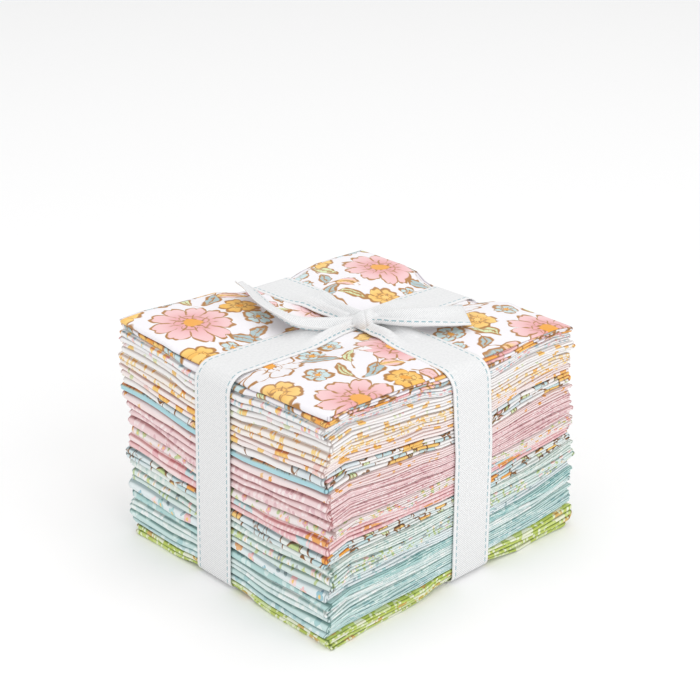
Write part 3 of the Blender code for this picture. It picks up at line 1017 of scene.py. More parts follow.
# From the floor up.
STACK = (
    FatQuarter("cotton_green", Cloth.GREEN_PATCH, 5.6, 4, -1.5, 1.0, 0.6, 4.0, 0.0, 0.0),
    FatQuarter("cotton_aqua", Cloth.LIGHT_BLUE, 3.4, 2, -0.3, -0.9, 0.5, 4.6, 7.0, 3.0),
    FatQuarter("cotton_aqua", Cloth.LIGHT_AQUA, 3.4, 2, -0.2, -0.4, 0.9, 4.2, 13.0, 5.0),
    FatQuarter("cotton_aqua", Cloth.AQUA_PATCH, 5.0, 4, 0.2, -0.8, 0.3, 3.4, 0.0, 0.4),
    FatQuarter("cotton_aqua", Cloth.AQUA_TONAL, 3.4, 2, 0.0, -0.2, -0.3, 3.6, 4.0, 9.0),
    FatQuarter("cotton_pale_blue", Cloth.BLUE_DITSY, 4.5, 2, 0.3, -1.3, 0.9, 3.3, 11.0, 2.0),
    FatQuarter("cotton_pale_blue", Cloth.AQUA_DITSY, 5.6, 4, -0.6, 0.5, -0.5, 3.8, 3.0, 6.0),
    FatQuarter("cotton_aqua", Cloth.AQUA_PLAIN, 3.8, 2, 0.5, 0.3, -0.7, 2.6, 5.0, 1.0),
    FatQuarter("cotton_pale_blue", Cloth.BLUE_FLORAL, 5.2, 4, 1.0, -0.7, 0.9, 1.8, 30.0, 12.0),
    FatQuarter("cotton_rose", Cloth.ROSE_PATCH, 5.8, 4, -0.4, -0.5, 0.4, 0.7, 8.0, 0.0),
    FatQuarter("cotton_white", Cloth.WHITE_DITSY, 3.9, 2, -1.9, 1.4, -0.9, 0.8, 2.0, 4.0),
    FatQuarter("cotton_pink", Cloth.PINK_TONAL, 3.7, 2, -1.6, 0.2, -0.2, 1.2, 6.0, 2.0),
    FatQuarter("cotton_rose", Cloth.ROSE_TONAL, 3.5, 2, -1.3, -0.3, -0.6, 0.2, 9.0, 8.0),
    FatQuarter("cotton_pink", Cloth.PALE_PINK_TONAL, 3.4, 2, -0.6, -0.3, 0.1, 0.4, 1.0, 7.0),
    FatQuarter("cotton_pink", Cloth.PINK_SPOT, 3.6, 2, 0.8, -0.6, 0.1, 0.7, 0.0, 1.8),
    FatQuarter("cotton_white", Cloth.WHITE_FLORAL, 7.0, 4, 1.5, -1.2, 0.6, 0.2, 0.0, 0.0),
    FatQuarter("cotton_white", Cloth.ORANGE_BLOSSOM, 5.0, 4, 2.1, -0.8, 1.0, -0.9, 4.0, 3.0),
    FatQuarter("cotton_cream", Cloth.CREAM_YELLOW, 5.4, 4, 1.6, 0.2, 0.7, -1.1, 9.0, 5.0),
    FatQuarter("cotton_cream", Cloth.CREAM_FLORAL, 5.8, 4, 0.3, 0.5, -0.3, -0.3, 5.0, 2.0),
    FatQuarter("cotton_lilac_white", Cloth.GREY_DITSY, 4.6, 4, 0.8, -1.2, 0.9, -1.4, 22.0, 40.0),
    FatQuarter("cotton_lilac_white", Cloth.LILAC_FLORAL, 4.8, 4, 0.8, -0.4, -0.2, -0.8, 48.0, 26.0),
)


@dataclass(frozen=True)
class TiedForm:
    """The form that the ribbon gives the stack: valleys on top, drawn-in sides, a loose foot. All lengths
    are in millimetres, and a point of the flat, square stack has the letters x, y and z."""

    half_x: float = 500 / 8
    half_y: float = 550 / 8
    height: float = sum(row.height for row in STACK) - 0.35
    first: float = STACK[0].height
    long_way_x: float = -2.0
    short_way_y: float = 7.0
    grip_half: float = 13.5
    grip_reach: float = 30.0
    long_valley: tuple[float, float, float] = (4.6, 1.6, -2.4)
    short_valley: tuple[float, float] = (2.0, 0.6)
    seat: float = 1.4
    least_z: float = 0.12
    crown: float = 1.4
    pull_edge: float = 1.0
    pull_top_grip: float = 8.0
    pull_foot_grip: float = 3.3
    pull_foot_left: float = 6.0
    pull_foot_back: float = 5.0
    loose_near: float = -1.0
    loose_far: float = 4.5
    body_lift: float = 1.4
    front_droop: float = 3.0
    back_bulge: float = 2.2
    back_dip: float = 1.6
    corner_rise: float = 2.4
    sides_x: Ramp = Ramp(34.0, half_x - 1)
    sides_y: Ramp = Ramp(38.0, half_y - 4)
    front_rim: Ramp = Ramp(half_y - 6, half_y)
    back_rim: Ramp = Ramp(half_y - 14, half_y)
    back_third: Ramp = Ramp(48.0, half_y)
    bulge_foot: Ramp = Ramp(3.0, 14.0)
    bulge_end: Ramp = Ramp(20.0, 50.0)
    right_half: Ramp = Ramp(-10.0, 50.0)
    right_rim: Ramp = Ramp(14.0, 50.0)
    off_middle: Ramp = Ramp(0.0, 20.0)
    corner_x: Ramp = Ramp(25.0, 60.0)
    corner_y: Ramp = Ramp(25.0, 66.0)
    corner_foot: Ramp = Ramp(0.0, 0.7)
    corner_head: Ramp = Ramp(0.78, 1.0)
    ripples_x: tuple[Ripple, ...] = (Ripple(0.45, 13.0, 2.1), Ripple(0.3, 5.3, 3.7))
    ripples_y: tuple[Ripple, ...] = (Ripple(0.45, 12.0, 1.7), Ripple(0.25, 5.7, 2.0))
    corners: tuple[tuple[int, int, float], ...] = ((-1, -1, 1.6), (1, -1, -0.2), (1, 1, -1.0), (-1, 1, -0.2))

    def grip(self, away: float) -> float:
        """1 under the ribbon, easing to 0 at the end of its reach."""
        return ease(-abs(away), -self.grip_reach, -self.grip_half)

    def long_grip(self, x: float) -> float:
        """Hold of the turn that runs along Y."""
        return self.grip(x - self.long_way_x)

    def short_grip(self, y: float) -> float:
        """Hold of the turn that runs along X."""
        return self.grip(y - self.short_way_y)

    def top(self, x: float, y: float) -> float:
        """Height of the top cloth.

        Args:
            x, y: a place on top of the stack.

        Returns:
            The height there.
        """
        u, v = x / self.half_x, y / self.half_y
        rise = sum(lift * (1 + side_x * u) * (1 + side_y * v) / 4 for side_x, side_y, lift in self.corners)
        crown = self.crown * max(0.0, 1 - u * u) * max(0.0, 1 - v * v)
        middle, slope, far_slope = self.long_valley
        long_valley = (middle + slope * v + far_slope * max(0.0, v) ** 2) * self.long_grip(x)
        short_valley = (self.short_valley[0] + self.short_valley[1] * u) * self.short_grip(y)
        deep, shallow = max(long_valley, short_valley), min(long_valley, short_valley)
        blend = deep + 0.25 * shallow * shallow / max(deep, 0.1)
        return self.height - self.crown / 2 + rise + crown - min(blend, deep + 0.4)

    def foot(self, x: float, y: float) -> float:
        """Height of the lowest cloth: on the floor, and lifted over the ribbon that passes under it."""
        return self.seat * (self.long_grip(x) + self.short_grip(y))

    def loosen(self, z: float, y: float) -> float:
        """Lets the lowest fat quarter spring open towards +Y.

        Args:
            z, y: a height in the square stack and its place along it.

        Returns:
            The level height.
        """
        share = min(1.0, max(0.0, (1 + y / self.half_y) / 2))
        spring = self.loose_near + (self.loose_far - self.loose_near) * share * share
        if z < self.first:
            return z * (1 + spring / self.first)
        return z + spring * (self.height - z) / (self.height - self.first)

    def breathe(self, x: float, y: float, z: float) -> float:
        """Adds the small unevenness of cloth laid by hand, with some folds full and others pressed.

        Args:
            x, y, z: the point.

        Returns:
            Its height in the uneven stack.
        """
        swell = math.sin(z * 0.62 + 1.3 * math.sin(x / 19) + 1.1 * math.sin(y / 23))
        swell += 0.6 * math.sin(z * 1.31 + x / 11 - y / 15)
        inner = min(1.0, z / 6) * min(1.0, (self.height - z) / 6)
        wave = 0.5 * math.sin(x / 21 + 0.6) * math.sin(y / 27 + z / 40)
        return z + inner * (0.24 * swell + wave)

    @staticmethod
    def arc(radius: float, depth: float) -> float:
        """How far a rounded edge draws in at a depth below its corner."""
        left = min(radius, max(0.0, radius - depth))
        return radius - math.sqrt(radius * radius - left * left)

    def side_pull(self, z: float, hold: float, foot_radius: float) -> float:
        """Draws one side in, more so where the ribbon holds it.

        Args:
            z: a height in the square stack.
            hold: the ribbon's hold there, from 0 to 1.
            foot_radius: how round the side's foot is where it is free.

        Returns:
            How far the side moves inwards.
        """
        top = self.pull_edge + (self.pull_top_grip - self.pull_edge) * hold
        foot = foot_radius + (self.pull_foot_grip - foot_radius) * hold
        return self.arc(top, self.height - z) + self.arc(foot, z)

    def spread(self, x: float, y: float, z: float, row: FatQuarter, seed: float) -> tuple[float, float]:
        """Moves a point sideways, to the row's own edge and in under the ribbon.

        Args:
            x, y, z: the point.
            row: the fat quarter that it belongs to.
            seed: the leaf's own number, for its own unevenness.

        Returns:
            Its new x and y.
        """
        free_x, free_y = 1 - self.short_grip(y), 1 - self.long_grip(x)
        share_x, share_y = self.sides_x.at(abs(x)), self.sides_y.at(abs(y))
        ripple_x = sum(ripple.at(y, seed) for ripple in self.ripples_x)
        ripple_y = sum(ripple.at(x, seed) for ripple in self.ripples_y)
        out_x = ((row.right if x > 0 else row.left) + ripple_x) * free_x
        out_y = ((row.back if y > 0 else row.front) + ripple_y) * free_y
        foot_x = self.pull_edge if x > 0 else self.pull_foot_left
        foot_y = self.pull_foot_back if y > 0 else self.pull_edge
        new_x = x + share_x * (out_x - self.side_pull(z, 1 - free_x, foot_x)) * math.copysign(1, x)
        new_y = y + share_y * (out_y - self.side_pull(z, 1 - free_y, foot_y)) * math.copysign(1, y)
        return new_x, new_y

    def back_shape(self, x: float, y: float, z: float, level: float) -> tuple[float, float]:
        """How the right half of the back bulges near the floor and dips at the top.

        Args:
            x, y, z: the point.
            level: its share of the stack's height.

        Returns:
            The rise and the dip.
        """
        bulge = self.back_bulge * self.back_third.at(y) * self.bulge_foot.at(z) * (1 - self.bulge_end.at(z))
        dip = self.back_dip * level ** 3 * self.back_rim.at(y)
        return bulge * self.right_half.at(x), dip * self.right_rim.at(x)

    def corner_lift(self, x: float, y: float, level: float) -> float:
        """How far the free corners stand up, all but the one at the back left, most of all in the upper rows.

        Args:
            x, y: the point.
            level: its share of the stack's height.

        Returns:
            The lift.
        """
        left, back = self.off_middle.at(-x), self.off_middle.at(y)
        corner = self.corner_x.at(abs(x)) * self.corner_y.at(abs(y)) * (1 - left * back)
        rise = self.corner_rise * self.corner_foot.at(level) * (1 - 0.65 * self.corner_head.at(level))
        return rise * corner * (1 - 0.4 * back)

    def settle(self, x: float, y: float, z: float, row: FatQuarter, seed: float) -> Vector:
        """Moves a point of the flat, square stack to its place in the tied one.

        Args:
            x, y, z: the point.
            row: the fat quarter that it belongs to.
            seed: the leaf's own number, for its own unevenness.

        Returns:
            The point in the row's frame, in metres.
        """
        new_x, new_y = self.spread(x, y, z, row, seed)
        level = self.loosen(self.breathe(x, y, z), y) / self.height
        low, high = self.foot(new_x, new_y), self.top(new_x, new_y)
        new_z = low + (high - low) * level
        inner = min(1.0, z / 12) * min(1.0, (self.height - z) / 12 + 0.25)
        new_z += inner * (self.body_lift - self.front_droop * self.front_rim.at(-y))
        bulge, dip = self.back_shape(x, y, z, level)
        new_z += bulge
        new_z -= dip
        new_z += self.corner_lift(x, y, level)
        return Vector((new_x, new_y, max(new_z, self.least_z))) * MM + CENTRING


class PathPoint(NamedTuple):
    """A point on the folded line of a cloth: place, direction of its right side's back, length so far, and
    how deep it lies in the crease at the ends of a fold, which weighs the painted shade there."""

    along: float
    level: float
    lean_along: float
    lean_level: float
    cut: float
    crease: float


@dataclass(frozen=True)
class Folding:
    """How a cloth is folded over and over between two sides, in millimetres. The storeys are those that its
    runs lie in, in the order that the cloth takes them, and it starts at the side -1 or 1."""

    storeys: tuple[int, ...]
    pitch: float
    half: float
    start: int
    run_steps: int
    fold_steps: int
    raw_back: float = 1.6
    run_edge: float = 0.6
    # How the painted crease shade grows round a fold, from its nose to its ends.
    crease_shade_turn: Ramp = Ramp(0.4, 0.98)

    def heights(self) -> list[float]:
        """Height of each run over the middle."""
        return [(storey - (len(self.storeys) - 1) / 2) * self.pitch for storey in self.storeys]

    def room(self, bends: list[float]) -> dict[int, float]:
        """Finds the room that the widest fold takes at each side.

        Args:
            bends: the folds' radii, in their order.

        Returns:
            The room, by the side's sign.
        """
        room = {-1: 0.0, 1: 0.0}
        for index, bend in enumerate(bends):
            side = self.start if index % 2 else -self.start
            room[side] = max(room[side], bend + self.pitch / 2)
        return room

    def run(self, height: float, here: float, there: float, cut: float, last: bool) -> list[PathPoint]:
        """Works out one flat run of the cloth.

        Args:
            height: its height over the middle.
            here: where it starts.
            there: where it ends.
            cut: length of cloth before it.
            last: whether no fold follows.

        Returns:
            Its points.
        """
        edge = self.run_edge / abs(there - here)
        shares = [0.0, edge] + [step / self.run_steps for step in range(1, self.run_steps)] + [1 - edge, 1.0]
        points = []
        for share in shares[1:] if cut else shares:
            along = here + (there - here) * share
            # Full painted crease shade at a run's end where a fold follows.
            crease = 1.0 if share == 1.0 and not last else 0.0
            lean = -math.copysign(1, there - here)
            points.append(PathPoint(along, height, 0.0, lean, cut + abs(along - here), crease))
        return points

    def fold(
        self, height: float, next_height: float, there: float, heading: int, cut: float
    ) -> list[PathPoint]:
        """Works out one fold of the cloth, which is half a round.

        Args:
            height: height of the run before it.
            next_height: height of the run after it.
            there: where it starts and ends.
            heading: the side that it bulges to, -1 or 1.
            cut: length of cloth before it.

        Returns:
            Its points.
        """
        bend, rise = abs(next_height - height) / 2, math.copysign(1, next_height - height)
        points = []
        for step in range(1, self.fold_steps + 1):
            turn = math.pi * step / self.fold_steps
            along = there + heading * bend * math.sin(turn)
            level = height + rise * bend * (1 - math.cos(turn))
            lean = -heading * math.cos(turn)
            # Painted crease shade grows towards the fold's two ends.
            crease = self.crease_shade_turn.at(abs(math.cos(turn)))
            points.append(PathPoint(along, level, rise * math.sin(turn), lean, cut + bend * turn, crease))
        return points

    def path(self) -> list[PathPoint]:
        """Works out the whole path.

        Returns:
            Its points, from one raw end to the other.
        """
        heights = self.heights()
        bends = [abs(after - before) / 2 for before, after in zip(heights, heights[1:])]
        room = self.room(bends)
        points: list[PathPoint] = []
        heading, cut = -self.start, 0.0
        here = self.start * (self.half - self.raw_back)
        for height, next_height, bend in zip(heights, heights[1:], bends):
            there = heading * (self.half - room[heading])
            points += self.run(height, here, there, cut, False)
            cut += abs(there - here)
            points += self.fold(height, next_height, there, heading, cut)
            cut += bend * math.pi
            here, heading = there, -heading
        return points + self.run(heights[-1], here, heading * (self.half - self.raw_back), cut, True)


@dataclass(frozen=True)
class ClothGrid:
    """A flat grid of cloth to lay: how far each of its lines has come on the flat cloth, in millimetres."""

    cuts_across: list[float]
    cuts_along: list[float]

    def shape(
        self, points: list[list[Vector]], crease_shading: list[list[float]] | None = None
    ) -> bmesh.types.BMesh:
        """Makes the grid and puts its points in place.

        Args:
            points: the place of each point, in metres, by its steps along and then across.
            crease_shading: how deep each point lies in a crease, in the same order, which weighs the painted
                shade there.

        Returns:
            The laid cloth, with its flat length and width as its UV map.
        """
        across, along = len(self.cuts_across) - 1, len(self.cuts_along) - 1
        shape = bmesh.new()
        bmesh.ops.create_grid(shape, x_segments=across, y_segments=along, size=1.0)
        uv = shape.loops.layers.uv.new("cloth")
        # The crease attribute weighs the shade painted into the cloth's colour.
        crease = shape.verts.layers.float.new("crease") if crease_shading else None
        steps: dict[int, tuple[int, int]] = {}
        for vertex in shape.verts:
            i, j = round((vertex.co.x + 1) / 2 * across), round((vertex.co.y + 1) / 2 * along)
            steps[vertex.index] = (i, j)
            vertex.co = points[j][i]
            if crease_shading:
                vertex[crease] = crease_shading[j][i]
        for face in shape.faces:
            face.smooth = True
            for loop in face.loops:
                i, j = steps[loop.vert.index]
                loop[uv].uv = (self.cuts_across[i] * MM, self.cuts_along[j] * MM)
        return shape


def finished_piece(
    name: str, shape: bmesh.types.BMesh, materials: tuple[bpy.types.Material, ...]
) -> bpy.types.Object:
    """Turns a shape into an object at the origin.

    Args:
        name: the piece's name.
        shape: its shape, which is used up.
        materials: its materials, in order.

    Returns:
        The new object.
    """
    mesh = bpy.data.meshes.new(name)
    shape.to_mesh(mesh)
    shape.free()
    for material in materials:
        mesh.materials.append(material)
    piece = bpy.data.objects.new(name, mesh)
    bpy.context.scene.collection.objects.link(piece)
    return piece


def thicken(piece: bpy.types.Object, thick: float) -> bpy.types.Modifier:
    """Gives a sheet its thickness, half to each side.

    Args:
        piece: the sheet.
        thick: its thickness in millimetres.

    Returns:
        The modifier.
    """
    wall = piece.modifiers.new("thickness", "SOLIDIFY")
    wall.thickness = thick * MM
    wall.offset = 0.0
    return wall


@dataclass
class FoldedCloth:
    """One fat quarter: a cut of cotton folded in four both ways, laid in its row of the tied stack."""

    form: TiedForm
    row: FatQuarter
    number: int
    base: float
    piece_gap: float = 0.35
    thick: float = 0.26
    plies: int = 16
    run_steps_x: int = 18
    run_steps_y: int = 14
    fold_steps_x: int = 4
    fold_steps_y: int = 6
    top_plies: float = 1.8
    leaf_seed: float = 0.45
    flat: tuple[float, float] = (0.5, 0.55)

    def ply(self) -> float:
        """Height of one ply, in millimetres."""
        return (self.row.height - self.piece_gap) / self.plies

    def shape(self) -> bmesh.types.BMesh:
        """Folds the cut along its length and then across, and settles it in the tied stack.

        Returns:
            The settled cloth.
        """
        ply, row, form = self.ply(), self.row, self.form
        order = (0, 1, 2, 3) if row.leaves == 4 else (0, 3, 2, 1)
        lengthways = Folding(order, 4 * ply, form.half_y, 1, self.run_steps_y, self.fold_steps_y).path()
        crossways = Folding((0, 3, 2, 1), ply, form.half_x, -1, self.run_steps_x, self.fold_steps_x).path()
        middle = self.base + self.plies / 2 * ply
        top_from = self.base + (self.plies - self.top_plies) * ply
        points, crease_shading = [], []
        for run in lengthways:
            seed = self.number + self.leaf_seed * run.level / (4 * ply)
            points.append([])
            crease_shading.append([])
            for across in crossways:
                y = run.along + run.lean_along * across.level
                z = middle + run.level + run.lean_level * across.level
                on_top = self.number == len(STACK) and z > top_from
                points[-1].append(form.settle(across.along, y, z, row, seed))
                # Painted crease shade, left off the top plies of the top fat quarter.
                crease_shading[-1].append(0.0 if on_top else max(across.crease, run.crease))
        cuts_across = [point.cut + row.print_x for point in crossways]
        cuts_along = [point.cut + row.print_y for point in lengthways]
        return ClothGrid(cuts_across, cuts_along).shape(points, crease_shading)

    def build(self, right_side: bpy.types.Material, wrong_side: bpy.types.Material) -> bpy.types.Object:
        """Makes the piece, with its printed side up on top.

        Args:
            right_side: the printed side's material.
            wrong_side: the other side's.

        Returns:
            The finished piece.
        """
        shape = self.shape()
        if self.faces_down(shape):
            bmesh.ops.reverse_faces(shape, faces=shape.faces[:])
        piece = finished_piece(f"folded_cotton_{self.number:02d}", shape, (right_side, wrong_side))
        wall = thicken(piece, min(self.thick, 0.9 * self.ply()))
        wall.material_offset = 1
        wall.material_offset_rim = 1
        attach(piece, "root")
        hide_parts(f"fat_quarter_{self.number:02d}")
        return piece

    @staticmethod
    def faces_down(shape: bmesh.types.BMesh) -> bool:
        """Finds which way the printed side of the top ply faces.

        Args:
            shape: the folded cloth.

        Returns:
            Whether it faces down.
        """
        shape.normal_update()
        middles = {face: face.calc_center_median() for face in shape.faces}
        top = max(shape.faces, key=lambda face: middles[face].z - 10 * middles[face].xy.length)
        return top.normal.z < 0


class Lean(NamedTuple):
    """How far the visible side of a turn stands off its middle line, in mm, and how soon it gets there."""

    top: float
    foot: float
    reach: float


class Station(NamedTuple):
    """One cross line of a ribbon tail, in mm: its edge nearer the -Y face and its edge farther from it."""

    near: tuple[float, float, float]
    far: tuple[float, float, float]


def smooth(values: list[Vector], where: float) -> Vector:
    """Reads a smooth curve through some points.

    Args:
        values: the points.
        where: the place on the curve, which grows by 1 from each point to the next.

    Returns:
        The point there.
    """
    index = min(int(where), len(values) - 2)
    t = where - index
    before = values[max(index - 1, 0)]
    here, there = values[index], values[index + 1]
    after = values[min(index + 2, len(values) - 1)]
    return 0.5 * (
        2 * here
        + (there - before) * t
        + (2 * before - 5 * here + 4 * there - after) * t * t
        + (3 * here - before - 3 * there + after) * t * t * t
    )


@dataclass
class Ribbon:
    """The tape that ties the stack: two turns, a knot and two free tails. A turn's line is a list of its
    run along the stack and its height, both in millimetres."""

    form: TiedForm
    material: bpy.types.Material
    width: float = 21.0
    thick: float = 0.45
    gap: float = 0.4
    solid_thick: float = 1.0
    top_radius: float = 7.5
    foot_radius: float = 3.5
    gathered: float = 11.0
    gather: Ramp = Ramp(8.0, 34.0)
    pleats: float = 2.0
    tail_pleats: float = 1.5
    turn_steps_across: int = 24
    tail_steps_across: int = 10
    tail_steps: int = 8
    top_steps: int = 20
    side_steps: int = 26
    under_steps: int = 24
    top_bend_steps: int = 8
    foot_bend_steps: int = 6
    long_lean: Lean = Lean(0.5, -3.3, 1.0)
    short_lean: Lean = Lean(-2.0, 1.2, 0.4)
    knot: tuple[float, float, float] = (5.7, 5.4, 96.0)
    knot_size: tuple[float, float, float] = (12.6, 10.6, 8.2)
    knot_turn: float = 42.0
    knot_wraps: float = 3.0
    knot_bulge: float = 0.10
    knot_crease: float = 0.17
    knot_tape: tuple[float, float] = (16.0, 30.0)
    knot_margin: float = 3.0
    knot_segments: tuple[int, int] = (96, 64)
    left_tail: tuple[Station, ...] = (
        Station((5.0, 2.5, 95.4), (2.5, 6.5, 96.2)),
        Station((-0.5, -8.5, 94.9), (-7.5, 0.0, 95.2)),
        Station((-3.5, -22.5, 99.0), (-14.5, -12.0, 95.5)),
        Station((-10.0, -27.0, 102.0), (-22.5, -14.5, 96.2)),
        Station((-26.0, -26.5, 103.7), (-38.0, -11.0, 97.0)),
        Station((-39.0, -22.5, 105.3), (-50.0, -7.0, 97.2)),
        Station((-46.5, -21.0, 106.0), (-57.0, -5.5, 97.5)),
    )
    right_tail: tuple[Station, ...] = (
        Station((7.0, 3.0, 95.8), (4.5, 7.0, 96.8)),
        Station((13.5, 4.5, 97.2), (8.0, 10.0, 98.0)),
        Station((20.5, 6.0, 98.0), (12.5, 13.5, 99.4)),
        Station((27.0, 9.5, 98.5), (17.0, 19.5, 99.8)),
        Station((32.0, 15.5, 98.4), (20.0, 28.5, 99.5)),
        Station((36.5, 22.5, 98.0), (21.5, 36.0, 98.7)),
        Station((40.0, 30.0, 97.5), (23.0, 42.5, 98.2)),
    )

    def step_over(self, along_y: bool) -> float:
        """How much higher a turn lies where it crosses over the other one, or lies over it on the floor."""
        return 0.0 if along_y else self.solid_thick + self.gap

    def top_z(self, run: float, along_y: bool) -> float:
        """Height of a turn's middle layer on top of the stack.

        Args:
            run: the place along the turn.
            along_y: whether the turn runs along Y.

        Returns:
            The height.
        """
        x, y = (self.form.long_way_x, run) if along_y else (run, self.form.short_way_y)
        under_side = self.form.top(x, y) + self.gap + self.step_over(along_y) * self.form.long_grip(x)
        return under_side + self.thick / 2

    def top_line(self, first: float, last: float, along_y: bool) -> Line:
        """Stretch of a turn on top of the stack, from one run to another."""
        runs = [first + (last - first) * step / self.top_steps for step in range(self.top_steps + 1)]
        return [(run, self.top_z(run, along_y)) for run in runs]

    def side_line(self, run: float, first: float, last: float) -> Line:
        """Stretch of a turn up or down one side, from one height to another."""
        steps = self.side_steps
        return [(run, first + (last - first) * step / steps) for step in range(steps + 1)]

    @staticmethod
    def bend(run: float, z: float, radius: float, turn: float, steps: int) -> Line:
        """Quarter of a round about a middle, from a turn in degrees, without its two end points."""
        turns = [math.radians(turn + 90 * step / steps) for step in range(1, steps)]
        return [(run + radius * math.cos(t), z + radius * math.sin(t)) for t in turns]

    def under_line(self, foot: float, along_y: bool) -> Line:
        """Stretch of a turn under the stack.

        Args:
            foot: the run that it ends at, as far from the middle as the one that it starts from.
            along_y: whether the turn runs along Y.

        Returns:
            Its line.
        """
        runs = [-foot + 2 * foot * step / self.under_steps for step in range(self.under_steps + 1)]
        z = self.solid_thick - self.thick / 2
        return [(run, z + self.step_over(along_y) * self.form.long_grip(run)) for run in runs]

    def whole_line(self, along_y: bool) -> Line:
        """Takes a turn round the stack, from the knot over the near side and back to the knot.

        Args:
            along_y: whether the turn runs along Y.

        Returns:
            Its line.
        """
        half = (self.form.half_y if along_y else self.form.half_x) + self.gap + self.thick / 2
        start = self.form.short_way_y if along_y else self.form.long_way_x
        edge, foot = half - self.top_radius, half - self.foot_radius
        left, right = (self.top_z(run, along_y) - self.top_radius for run in (-edge, edge))
        low = self.solid_thick - self.thick / 2 + self.foot_radius
        return [
            *self.top_line(start, -edge, along_y),
            *self.bend(-edge, left, self.top_radius, 90, self.top_bend_steps),
            *self.side_line(-half, left, low),
            *self.bend(-foot, low, self.foot_radius, 180, self.foot_bend_steps),
            *self.under_line(foot, along_y),
            *self.bend(foot, low, self.foot_radius, 270, self.foot_bend_steps),
            *self.side_line(half, low, right),
            *self.bend(edge, right, self.top_radius, 0, self.top_bend_steps),
            *self.top_line(edge, start, along_y),
        ]

    def middle(self, run: float, z: float, along_y: bool) -> float:
        """Middle line of a turn, which leans on the side that shows.

        Args:
            run, z: a point of the turn's line.
            along_y: whether the turn runs along Y.

        Returns:
            The middle's place across the turn.
        """
        form = self.form
        middle, lean = (form.long_way_x, self.long_lean) if along_y else (form.short_way_y, self.short_lean)
        visible = (1 - run / form.half_y) / 2 if along_y else (1 + run / form.half_x) / 2
        drop = min(1.0, max(0.0, (1 - z / form.height) / lean.reach))
        return middle + (lean.top + (lean.foot - lean.top) * drop) * visible

    def pleat(self, room: float, waves: float) -> float:
        """Height of the waves that the tape's width makes when it is gathered into less room."""
        slope = 2 * math.sqrt(max(0.0, self.width / room - 1))
        return slope * room / (2 * math.pi * waves)

    def turn_point(self, run: float, z: float, share: float, along_y: bool) -> Vector:
        """Place of a point of a turn.

        Args:
            run, z: the point of the turn's line that it lies beside.
            share: its share of the tape's width.
            along_y: whether the turn runs along Y.

        Returns:
            The point in the row's frame, in metres.
        """
        centre = self.form.short_way_y if along_y else self.form.long_way_x
        gather = 1 - self.gather.at(abs(run - centre)) if z > self.form.height / 2 else 0.0
        half = (self.width + (self.gathered - self.width) * gather) / 2
        lift = self.pleat(2 * half, self.pleats) * (1 - math.cos(share * self.pleats * 2 * math.pi))
        side = self.middle(run, z, along_y) + (2 * share - 1) * half
        place = (side, run, z + lift) if along_y else (run, side, z + lift)
        return Vector(place) * MM + CENTRING

    def turn(self, name: str, along_y: bool) -> bpy.types.Object:
        """Builds one turn, gathered into pleats where it runs into the knot.

        Args:
            name: the piece's name.
            along_y: whether the turn runs along Y.

        Returns:
            The finished piece.
        """
        line = self.whole_line(along_y)
        cuts = [0.0]
        for before, after in zip(line, line[1:]):
            cuts.append(cuts[-1] + math.dist(before, after))
        shares = [step / self.turn_steps_across for step in range(self.turn_steps_across + 1)]
        points = [[self.turn_point(run, z, share, along_y) for share in shares] for run, z in line]
        return self.strip(name, points, cuts)

    def tail(self, name: str, stations: tuple[Station, ...], first_cut: float) -> bpy.types.Object:
        """Builds one free end on a smooth line through its cross lines.

        Args:
            name: the piece's name.
            stations: its cross lines, from the knot to the cut end.
            first_cut: where the tape's pattern starts on it, in millimetres.

        Returns:
            The finished piece.
        """
        spans = len(stations) - 1
        steps = self.tail_steps * spans
        nears, fars = [Vector(s.near) for s in stations], [Vector(s.far) for s in stations]
        wheres = [step / steps * spans for step in range(steps + 1)]
        edges = [(smooth(fars, where), smooth(nears, where)) for where in wheres]
        cuts, points = [first_cut], []
        for (far, near), (next_far, next_near) in zip(edges, edges[1:]):
            cuts.append(cuts[-1] + ((next_far + next_near) / 2 - (far + near) / 2).length)
        for step, (far, near) in enumerate(edges):
            ahead, behind = edges[min(step + 1, steps)], edges[max(step - 1, 0)]
            away = (near - far).cross(sum(ahead, Vector()) - sum(behind, Vector())).normalized()
            height = self.pleat((near - far).length, self.tail_pleats)
            points.append([])
            for index in range(self.tail_steps_across + 1):
                share = index / self.tail_steps_across
                wave = height * math.sin(share * (2 * self.tail_pleats) * math.pi)
                points[-1].append((far.lerp(near, share) + away * wave) * MM + CENTRING)
        return self.strip(name, points, cuts)

    def strip(self, name: str, points: list[list[Vector]], cuts: list[float]) -> bpy.types.Object:
        """Makes a length of tape.

        Args:
            name: the piece's name.
            points: the places of its points in metres, by the steps along it and then across.
            cuts: length of tape up to each step along, in millimetres.

        Returns:
            The finished piece.
        """
        across = len(points[0]) - 1
        cuts_across = [self.width * step / across for step in range(across + 1)]
        piece = finished_piece(name, ClothGrid(cuts_across, cuts).shape(points), (self.material,))
        thicken(piece, self.thick)
        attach(piece, "root")
        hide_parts("ribbon")
        self.width * MM
        return piece

    def wrapped(self, x: float, y: float, z: float) -> Vector:
        """Shapes a point of a ball of diameter 1 into the knot: creases between the wraps, and fuller ends.

        Args:
            x, y, z: the point, with x along the knot.

        Returns:
            The shaped point.
        """
        round_it = math.atan2(z, y)
        phase = self.knot_wraps * math.pi * x + 0.9 * math.sin(round_it + 0.5) + 0.4
        valley = (1 - abs(math.sin(phase))) ** 3
        crease = self.knot_crease * valley * (1 - (2 * x) ** 4)
        waist = 1 + self.knot_bulge * math.cos(2 * math.pi * x) - crease
        return Vector((x * (1 + 0.06 * math.sin(2 * round_it)), y * waist, z * waist))

